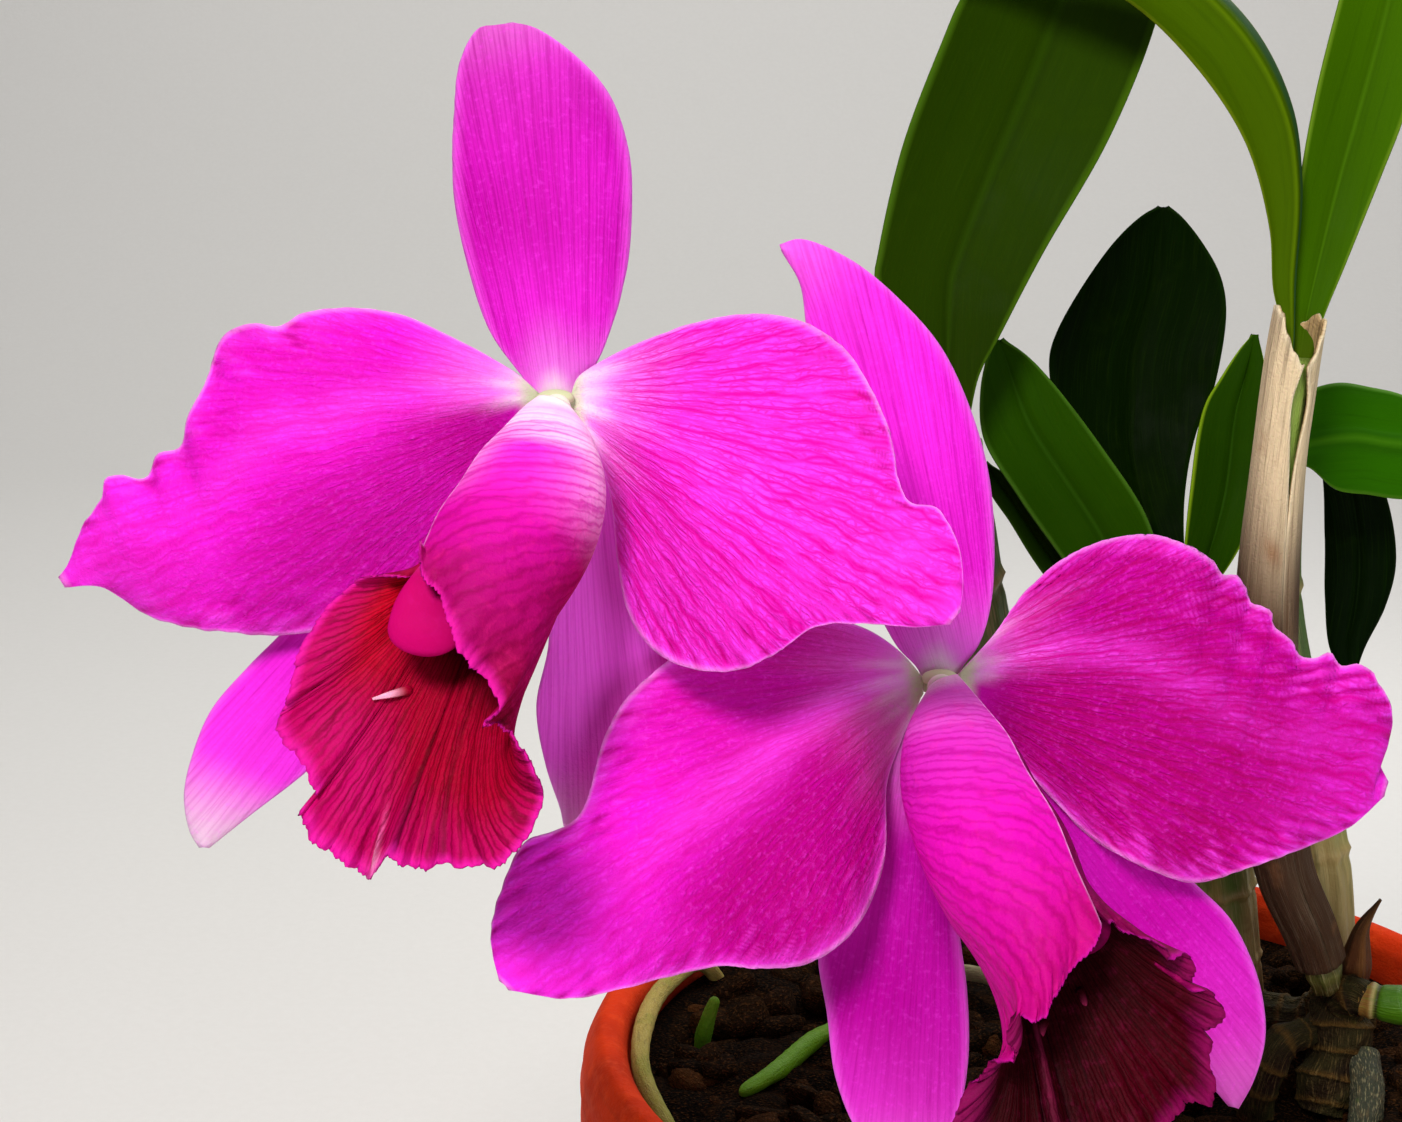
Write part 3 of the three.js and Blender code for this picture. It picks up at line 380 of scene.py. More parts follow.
# Petals and sepals. Edges run from the claw to the tip, in millimetres from the flower's centre.
# rise: height along the middle; sides: height added toward each edge; waves: size, count and phase along
# each edge; ruffle: how frilled each edge is; deepen, lighten, lowerShade: shares of the deep or light
# tint. On the right bloom the deep tint is painted shade, on the left inner sepal the light tint is painted
# light, and below a petal's crease the deep tint is painted shade.
tepals = {
    "left_dorsal_sepal": {
        "deepen": [0.2, 0.75, 0.7], "rise": [-2, -4, -6.5, -9, -13],
        "sides": [[0, -2.5, -3.5, -3, -1]] * 2,
        "edges": [[[-2.6, -2], [-3.2, 1], [-5.5, 4], [-10.5, 11], [-14, 21], [-16.5, 33.5], [-16.5, 45.5],
            [-15.5, 55], [-12.5, 60.5], [-10, 61]],
            [[2.6, -2], [3, 1], [7, 6.5], [11.5, 20.5], [12.5, 32], [12, 40.5], [9, 49.5], [4, 55.5],
            [-3, 60.5], [-7, 61.5]]],
    },
    "left_petal_outer": {
        "creaseAt": -0.15, "lowerShade": 0.6,
        "ruffle": [[0, 0, 0.1, 0.8, 1.4, 1.2], [0, 0, 0.1, 0.3, 0.3, 0.2]], "deepen": [0.1, 0.15, 0.1, 0],
        "rise": [-1, -1.5, -7, -16, -27],
        "sides": [[0, -3, -4, -3, -1], [0, -5, -6, -4, -1]], "waves": [[1.8, 5, 0.5], [1.6, 4, 2]],
        "edges": [[[-2.5, 1], [-6.5, 4.5], [-17.5, 10.5], [-25.5, 14], [-34, 15], [-41.5, 14], [-45, 12],
            [-49.5, 12.5], [-54, 10.5], [-57, 3], [-60, -3], [-61, -7.5], [-65, -9], [-66.5, -12.5],
            [-73, -12.5], [-74, -16], [-77, -20.5], [-79.5, -27], [-81, -29]],
            [[-3, -2], [-9, -12], [-16, -24], [-27, -34], [-41, -38], [-52.5, -38], [-65.5, -35.5],
            [-74, -30.5], [-80, -30.5]]],
    },
    "left_petal_inner": {
        "creaseAt": 0.1, "lighten": 0.5, "lowerShade": 0.3,
        "ruffle": [[0, 0, 0.4, 0.9, 1.3, 1], [0, 0.1, 0.2, 0.2, 0.5, 0.6]], "deepen": [0.05, 0.2, 0.05, 0],
        "rise": [-1, 5, 12, 20, 27],
        "sides": [[0, -2, -3, -3, -1], [0, -3, -4, -3, -1]],
        "waves": [[1.6, 5, 1], [1.6, 4, 0]],
        "edges": [[[2.4, 0.4], [3.6, 3.6], [7, 6], [15.5, 10], [24.5, 13], [33, 14], [41, 12.5], [47.5, 8],
            [52, 1], [54.5, -5], [56.5, -14.5], [58.5, -17], [62, -17.5], [65.5, -23], [66.5, -29.5],
            [66, -34.5]],
            [[2.6, -3], [6, -7], [9, -15], [10.5, -28], [12.5, -36], [17, -41.5], [23, -44], [30, -44],
            [36.5, -41], [42.5, -37], [50.5, -36.5], [59, -37], [64.5, -36.5]]],
    },
    "left_sepal_outer": {
        "paleTip": 0.9, "rise": [-2, -12, -21, -27, -30],
        "sides": [[0, -1.5, -2.5, -2.5, -1]] * 2,
        "edges": [[[-3.5, -1.5], [-18, -12], [-33, -26], [-45, -38.5], [-50, -43.5], [-56, -50.5],
            [-59, -57.5], [-60.5, -64.5], [-59.5, -70.5], [-58, -73]],
            [[-1, -4], [-9, -18], [-20, -36], [-31, -51], [-40.5, -60.5], [-49.5, -67.5], [-56.5, -73]]],
    },
    "left_sepal_inner": {
        "lighten": 1, "paleTip": 0.5, "rise": [-2, -8, -12, -15, -16],
        "sides": [[0, -1.5, -2.5, -2.5, -1]] * 2,
        "edges": [[[0, -4], [-1, -12], [-1.5, -25], [-1, -39.5], [-3, -50], [-1.5, -59.5], [1, -67],
            [1.5, -69.5]],
            [[3.5, -3], [10, -12], [17, -24], [21, -36], [20, -48], [15, -59], [8, -67], [3, -70]]],
    },
    "right_dorsal_sepal": {
        "deepen": [0.3, 0.1, 0], "rise": [-2, -5, -9, -12, -14],
        "sides": [[0, -2, -3, -2.5, -1]] * 2,
        "edges": [[[-2.8, -2], [-3.6, 1.5], [-7.5, 6], [-14, 20], [-17.5, 33.5], [-21, 47], [-22.5, 59.5],
            [-23.5, 66.5], [-26.5, 72]],
            [[2.8, -2], [3.4, 1.5], [6.5, 6], [8.5, 13], [9, 24.5], [8, 35], [5, 45.5], [0, 56], [-7, 64],
            [-15, 70.5], [-23.5, 74], [-27, 73]]],
    },
    "right_petal_inner": {
        "clawShare": 0.4, "crinkled": 1.2, "lowerShade": 1.5,
        "ruffle": [[0, 0, 0.2, 0.3, 0.6, 0.6], [0, 0.2, 0.5, 0.6, 1, 0.6]], "deepen": [0.4, 0.65, 0.15, 0],
        "rise": [-1, 5, 11, 18, 24],
        "sides": [[0, -2, -3, -3, -1], [0, -3, -4, -3, -1]],
        "waves": [[1.4, 4, 2.4], [1.6, 5, 1]],
        "edges": [[[-3, 0.5], [-6.5, 4.5], [-12.5, 8.5], [-20, 10.5], [-30, 10.5], [-39, 7.5], [-46, 3],
            [-53, -3.5], [-56.5, -10], [-60.5, -22.5], [-65, -25.5], [-69.5, -27], [-74, -36], [-75.5, -44],
            [-74, -50.5]],
            [[-3, -2.5], [-6.5, -10], [-9, -17], [-9.5, -30.5], [-14.5, -42], [-22, -47.5], [-30.5, -48.5],
            [-36.5, -48], [-42.5, -49], [-52, -51.5], [-62.5, -53.5], [-72.5, -52]]],
    },
    "right_petal_outer": {
        "creaseAt": -0.05, "clawShare": 0.45, "crinkled": 1.9,
        "ruffle": [[0, 0, 0.3, 0.2, 0.2, 0.2], [0, 0.2, 0.6, 1.2, 1.2, 1]], "deepen": [0.6, 0.85, 0.7, 0.3],
        "rise": [-1, -2, -8, -16, -25],
        "sides": [[0, -3, -4, -3, -1], [0, -5, -6, -4, -1]],
        "waves": [[1.6, 5, 0], [1.8, 4, 2]],
        "edges": [[[3, 1], [8.5, 7], [14.5, 15], [21, 20.5], [28.5, 23.7], [35.3, 24.4], [39.5, 23.4],
            [43, 21.9], [45.8, 19.9], [47.3, 17.8], [49.8, 17.5], [51.2, 15.7], [52.2, 13], [55.4, 11.7],
            [56.1, 8.9], [58.6, 7], [60.7, 3.9], [62.9, 3.6], [65.5, 4.5], [67.4, 2.3], [70.3, 2.6],
            [72.5, 1.5], [73.6, -0.6], [75.3, -3.2], [75.9, -6.7], [75.2, -10.2], [73.7, -13.6],
            [75.2, -17.2]],
            [[3, -1.5], [10, -10], [18.5, -19.5], [25.5, -26.5], [35.5, -32], [42.5, -34], [52, -31.5],
            [61.5, -28], [69, -24.5], [74.5, -19.5]]],
    },
    "right_sepal_inner": {
        "deepen": [0.7, 0.75, 0.5], "rise": [-2, -8, -11, -12, -11],
        "sides": [[0, -1.5, -2.5, -2.5, -1]] * 2,
        "edges": [[[-3, -3], [-13, -20], [-19, -34], [-20.5, -46], [-19, -56], [-17.5, -67], [-13.5, -76.5],
            [-7.5, -83]],
            [[0, -4], [1.5, -20], [3, -41], [4.5, -53], [4.5, -65], [2, -75.5], [-5.5, -83]]],
    },
    "right_sepal_outer": {
        "deepen": [0.7, 0.75, 0.75], "rise": [-2, -12, -21, -26, -27],
        "sides": [[0, -1.5, -2.5, -2.5, -1]] * 2,
        "edges": [[[1, -4], [10, -18], [22, -36], [34, -53], [42, -64], [48.5, -71.5]],
            [[3.5, -2.5], [16, -12], [30, -22], [42.5, -34], [48.5, -40], [52, -46.5], [54, -53],
            [54.5, -60.5], [52.5, -67.5], [50, -72]]],
    },
}
tepalShades = {  # shares of each tint over the body's own, unless the blade gives its own
    "deepShare": 0.1, "blotchShare": 0.16, "lowerShade": 0.75, "ridgeHighlightShare": 0.55, "stripeShare": 0.3,
    "rimShare": 0.5, "tipShare": 0.25, "foldDark": 0.75, "foldLight": 0.5, "clawShare": 0.85,
    "blushShare": 0.7, "paleTip": 0.12, "backShare": 0.5, "backVeins": 0.6,
}
petalLook = {
    **tepalShades,
    "rows": 130, "columns": 93, "thickness": 0.8, "rimThickness": 0.32, "scallop": 0.32,
    "scallopCount": 23, "pucker": 0.65, "puckerStep": 0.06, "crimp": 0.24, "crease": 4.0,
    "foldShade": 0.95, "paleRim": 0.65, "veinStep": 0.12, "hubBack": 6, "clawReach": 0.16,
    "blushReach": 0.34, "body": "f61ee6", "deep": "ba008e", "claw": "fae6f4", "blush": "f8a4f0",
    "heart": "d6d8b4", "rim": "fb4cf6", "back": "e040d0",
}
sepalLook = {
    **tepalShades,
    "rows": 100, "columns": 37, "thickness": 0.8, "rimThickness": 0.35, "scallop": 0.06, "scallopCount": 9,
    "pucker": 0.16, "puckerStep": 0.05, "crimp": 0.02, "crease": 0.8, "foldShade": 0.3, "paleRim": 0.3,
    "veinStep": 0.034, "hubBack": 40, "clawReach": 0.13, "blushReach": 0.3, "body": "ee28de",
    "deep": "b20096", "claw": "dcc4d4", "blush": "e48ce4", "heart": "c8cca0", "rim": "fa60f0",
    "back": "da48cc",
}


def foldNoise(angle, far, seed):  # narrow folds that run out from the claw
    return softNoise(angle / 0.0065, far / 1.4, seed + 3, 11)


def bladeSurface(origin, blade, look, seed):
    t = np.linspace(0, 1, look["rows"])
    across = np.linspace(-1, 1, look["columns"])
    ends = [pointsAt(smoothLine(edge), t)[:, None, :2] for edge in blade["edges"]]
    middle = ends[0] + (ends[1] - ends[0]) * blade.get("middle", 0.5)
    t, across = t[:, None], across[None, :]
    share = np.abs(across)
    second = across > 0
    way = np.where(second[..., None], ends[1] - middle, ends[0] - middle)
    flat = middle + way * share[..., None]
    wide = np.maximum(np.linalg.norm(way, axis=-1), 1e-6)
    waves = []
    for size, count, phase in blade.get("waves", [[0, 0, 0], [0, 0, 0]]):
        waves.append(size * np.sin(2 * math.pi * count * t + phase) * np.sqrt(np.sin(math.pi * t).clip(0)))
    relief = [valueAlong(values, t) for values in blade["sides"]]
    z = valueAlong(blade["rise"], t) + np.where(second, relief[1], relief[0]) * share ** 2
    z = z + np.where(second, waves[1], waves[0]) * share ** 3
    body = ease(0.05, 0.35, t) * (1 - ease(0.9, 1, t))
    wander = look["scallopCount"] * t + 1.4 * softNoise(9 * t, across, seed)
    patchy = ease(-0.4, 0.8, softNoise(7 * t, 2 * across, seed + 6))
    scallop = (np.sin(2 * math.pi * wander) + 0.7 * softNoise(110 * t, across, seed + 1)) * patchy
    ruffles = [valueAlong(values, t) for values in blade.get("ruffle", [[1, 1], [1, 1]])]
    scallop = scallop * np.where(second, ruffles[1], ruffles[0]) * look["scallop"] * body * share ** 6
    flat = flat + way / wide[..., None] * scallop[..., None]
    axis = unit(middle[-1, 0] - middle[0, 0])
    hub = middle[0, 0] - axis * look["hubBack"]
    rel = flat - hub
    angle = np.arctan2(rel[..., 0] * axis[1] - rel[..., 1] * axis[0], rel @ axis)
    far = np.linalg.norm(rel, axis=-1)
    nearRim = np.maximum(ease(0.45, 1, share), ease(0.8, 1, t)) * body
    z = z + look["pucker"] * nearRim * softNoise(angle / look["puckerStep"], far / 22, seed + 2)
    crinkled = blade.get("crinkled", 1) * look["crimp"] * body
    z = z + crinkled * foldNoise(angle, far, seed) * share ** 2
    roof = np.sqrt((across - blade.get("creaseAt", 0)) ** 2 + 0.002) - 0.045  # a ridge, a little rounded
    z = z - look["crease"] * roof * ease(0, 0.12, t) * (1 - ease(0.35, 0.85, t))
    grid = placeAt(origin, flat[..., 0], flat[..., 1], z)
    return grid, t, across, flat, angle, far


def tepalPiece(name, blade, look, material, seed):
    grid, t, across, flat, angle, far = bladeSurface(bloomOf(name), blade, look, seed)
    share = np.abs(across)
    isPetal = "petal" in name
    # a petal gets painted shade below its crease and a painted highlight along the ridge above it; the claw
    # is pale and the rim lighter
    blotch = softNoise(flat[..., 0] / 6, flat[..., 1] / 6, seed + 5)
    # a deeper tint, which on the right bloom is painted shade where the left bloom shades it and the light
    # falls off
    deep = look["deepShare"] + valueAlong(blade.get("deepen", [0, 0]), t) + look["blotchShare"] * blotch
    colour = tinted(paint(look["body"]), look["deep"], deep.clip(0, 1))
    # the rim tint lightens the left inner petal and, on the left inner sepal, is painted light against the
    # lip's shadow
    colour = tinted(colour, look["rim"], blade.get("lighten", 0))
    if isPetal:
        crease = across - blade.get("creaseAt", 0)
        # painted shade: the side of the petal below the crease is darkened
        creaseShade = ease(-0.04, 0.04 + 0.7 * t, crease) * ease(0.02, 0.14, t) * (1 - ease(0.35, 0.9, t))
        creaseShade = blade.get("lowerShade", look["lowerShade"]) * creaseShade
        colour = tinted(colour, look["deep"], creaseShade.clip(0, 1))
        # painted highlight along the ridge just above the crease
        ridgeHighlight = bell(-0.12 - 0.1 * t, 0.1 + 0.1 * t, crease) * ease(0.95, 0.2, t)
        colour = tinted(colour, look["rim"], look["ridgeHighlightShare"] * ridgeHighlight)
    else:
        stripe = ease(0.35, 0, share) * ease(0.1, 0.4, t) * (1 - ease(0.6, 1, t))
        colour = tinted(colour, look["deep"], look["stripeShare"] * stripe)
    light = look["rimShare"] * ease(0.82, 1, share) + look["tipShare"] * ease(0.6, 1, t)
    colour = tinted(colour, look["rim"], light)
    # painted shade in the valleys of the fine folds and painted highlight on their crests, from the same
    # noise as their relief
    fold = foldNoise(angle, far, seed) * look["foldShade"] * blade.get("crinkled", 1)
    fold = fold * ease(0.3, 1, share) * ease(0.2, 0.5, t)
    colour = tinted(colour, look["deep"], look["foldDark"] * ease(0.1, 1.4, -fold))
    colour = tinted(colour, look["rim"], look["foldLight"] * ease(0.2, 1.6, fold))
    ragged = 0.03 * softNoise(angle / 0.05, 0 * t, seed + 8)
    clawShare = blade.get("clawShare", look["clawShare"])
    blush = clawShare * ease(look["blushReach"], 0.06, t + 0.06 * share + ragged)
    claw = clawShare * ease(look["clawReach"], 0.04, t + 0.05 * share + ragged)
    if "outer" in name and isPetal:  # only above the crease is the claw pale; below it the painted crease shade stays
        claw, blush = claw * ease(0.3, -0.1, crease), blush * ease(0.2, -0.12, crease)
    colour = tinted(colour, look["blush"], look["blushShare"] * blush)
    colour = tinted(colour, look["claw"], claw)
    colour = tinted(colour, look["heart"], ease(0.06, 0.015, t + 0 * share))
    if not isPetal:
        paleTip = blade.get("paleTip", look["paleTip"])
        colour = tinted(colour, look["claw"], paleTip * ease(0.8, 1, t + 0 * share))
    # a thin painted highlight along the rim and the tip
    rimHighlight = np.maximum(ease(0.96, 1, share + 0 * t), ease(0.985, 1, t + 0 * share))
    colour = tinted(colour, look["blush"], look["paleRim"] * rimHighlight)
    behind = tinted(colour, look["back"], look["backShare"] + 0 * share * t)
    toward = np.sign((gridNormals(grid) * (frontPoint - grid)).sum())
    faces = (colour, behind) if toward > 0 else (behind, colour)
    vein = np.stack([angle / look["veinStep"] + 40, far, 0 * far], -1)
    show = ease(0.03, 0.2, t) * (1 - 0.75 * ease(0.93, 1, share)) * (1 - 0.6 * ease(0.9, 1, t))
    thickness = look["thickness"] + (look["rimThickness"] - look["thickness"]) * np.maximum(
        ease(0.8, 1, share), ease(0.93, 1, t))
    front = {"tint": faces[0], "veinPlace": vein, "veinShow": show}
    rear = {"tint": faces[1], "veinPlace": vein, "veinShow": look["backVeins"] * show}
    part = bladePart(grid, thickness, front, rear)
    build(name, [part], material)


tissueHeights = {"vein": -0.28, "grain": 0.25, "streak": 0.5}  # how far each stands out of the surface


def tissueMaterial(name, look):  # flower tissue: forking veins over the tint, fine cells, painted glints, a soft sheen
    material, shader = newMaterial(name, {
        "Roughness": look["roughness"], "Specular IOR Level": look["shine"],
        "Subsurface Weight": look["glow"], "Subsurface Radius": (1.0, 0.2, 0.6), "Subsurface Scale": 0.0012})
    place = attribute(material, "veinPlace", "Vector")
    tint = attribute(material, "tint", "Color")
    show = attribute(material, "veinShow", "Fac")
    parts = addNode(material, "SeparateXYZ", {"Vector": place}).outputs
    vein = None
    for times, width, wander, strength, start in look["veins"]:
        loose = scaled(material, place, (0.45 * times, look["bend"] * times ** 0.5, 1))
        warp = noise(material, loose, 1.0, 2)
        warp = product(material, maths(material, "SUBTRACT", warp, 0.5), wander)
        number = maths(material, "ADD", product(material, parts["X"], times), warp)
        gap = maths(material, "PINGPONG", number, 0.5)
        line = spread(material, gap, 0.0, width, strength, 0)
        line = product(material, line, spread(material, parts["Y"], start, start + 16, 0, 1))
        vein = line if vein is None else maths(material, "MAXIMUM", vein, line)
    if "net" in look:  # short cross veins between the long ones
        wide, long, thin, strength = look["net"]
        bent = noise(material, scaled(material, place, (1.3, 0.16, 1)), 1.0, 2)
        aside, onward = product(material, bent, 0.5), product(material, bent, 6)
        moved = addNode(material, "CombineXYZ", {0: aside, 1: onward}).outputs[0]
        cell = addNode(material, "VectorMath", {0: place, 1: moved}, operation="ADD").outputs[0]
        edge = cellEdge(material, scaled(material, cell, (wide, long, 1)))
        vein = maths(material, "MAXIMUM", vein, spread(material, edge, 0.0, thin, strength, 0))
    drawn = scaled(material, place, (look["streakWide"], look["streakLong"], 1))
    streak = noise(material, drawn, 1.0, 4, 0.65)
    cells = addNode(material, "TexCoord").outputs["Object"]
    grain = noise(material, cells, look["grain"], 2, 0.7)
    crinkle = noise(material, cells, look["crinkle"], 3, 0.6)
    patch = noise(material, scaled(material, place, (2.2, 0.1, 1)), 1.0, 3)
    broken = spread(material, patch, 0.34, 0.56, 0.6, 1.0)
    vein = product(material, product(material, vein, broken), show)
    darken = mixColour(material, parts["Z"], look["veinTone"], look.get("innerTone", look["veinTone"]))
    shade = product(material, spread(material, streak, 0.5, 0.72, 0, 1), look["streak"])
    shade = product(material, shade, show)
    colour = mixColour(material, shade, tint, darken, "MULTIPLY")
    # painted glints: specks of the spark tint where the fine crinkles peak, fainter on the inside of the
    # lips
    glint = product(material, spread(material, crinkle, 0.5, 0.75, 0, 1),
                spread(material, parts["Z"], 0, 1, look["sparkle"], 0.25 * look["sparkle"]))
    colour = mixColour(material, glint, colour, paint(look["spark"]))
    deepVein = product(material, vein, look["veinDepth"])
    colour = mixColour(material, deepVein, colour, darken, "MULTIPLY")
    height = weighted(material, (vein, tissueHeights["vein"]), (grain, tissueHeights["grain"]),
                      (crinkle, look["crinkled"]), (streak, tissueHeights["streak"]))
    return finishMaterial(material, shader, colour, height, look["bumpDepth"])


# Veins: how many to a unit, half their width, how far they wander, their strength and where they begin.
# The net's cells: how many across and along to a unit, the width of their edges and their strength.
petalTissue = tissueMaterial("petalTissue", {
    "roughness": 0.5, "shine": 0.03, "glow": 0.08, "bend": 0.09, "streakWide": 7, "streakLong": 0.24,
    "streak": 0.5,
    "veins": [[1, 0.17, 1.2, 1, -10], [2, 0.22, 1.3, 1, 2], [4, 0.28, 1.5, 0.9, 12],
        [8, 0.32, 1.7, 0.65, 34]],
    "net": [5.2, 0.4, 0.22, 0.65], "veinTone": (0.76, 0.05, 0.44), "veinDepth": 1,
    "sparkle": 0.26, "spark": "ff4cfa", "grain": 2600, "crinkle": 1150, "crinkled": 0.4,
    "bumpDepth": 0.00058})
sepalTissue = tissueMaterial("sepalTissue", {
    "roughness": 0.5, "shine": 0.03, "glow": 0.08, "bend": 0.03, "streakWide": 5, "streakLong": 0.06,
    "streak": 0.5,
    "veins": [[1, 0.13, 0.9, 0.6, -10], [2, 0.16, 1.0, 0.5, 0], [4, 0.2, 1.1, 0.4, 0]],
    "veinTone": (0.62, 0.1, 0.52), "veinDepth": 0.9, "sparkle": 0.2, "spark": "ff44fa", "grain": 2600,
    "crinkle": 1000, "crinkled": 0.5, "bumpDepth": 0.0003})
for number, (name, blade) in enumerate(tepals.items()):
    isPetal = "petal" in name
    tepalPiece(name, blade, petalLook if isPetal else sepalLook, petalTissue if isPetal else sepalTissue,
               10 * number + 3)
print("petals and sepals made")


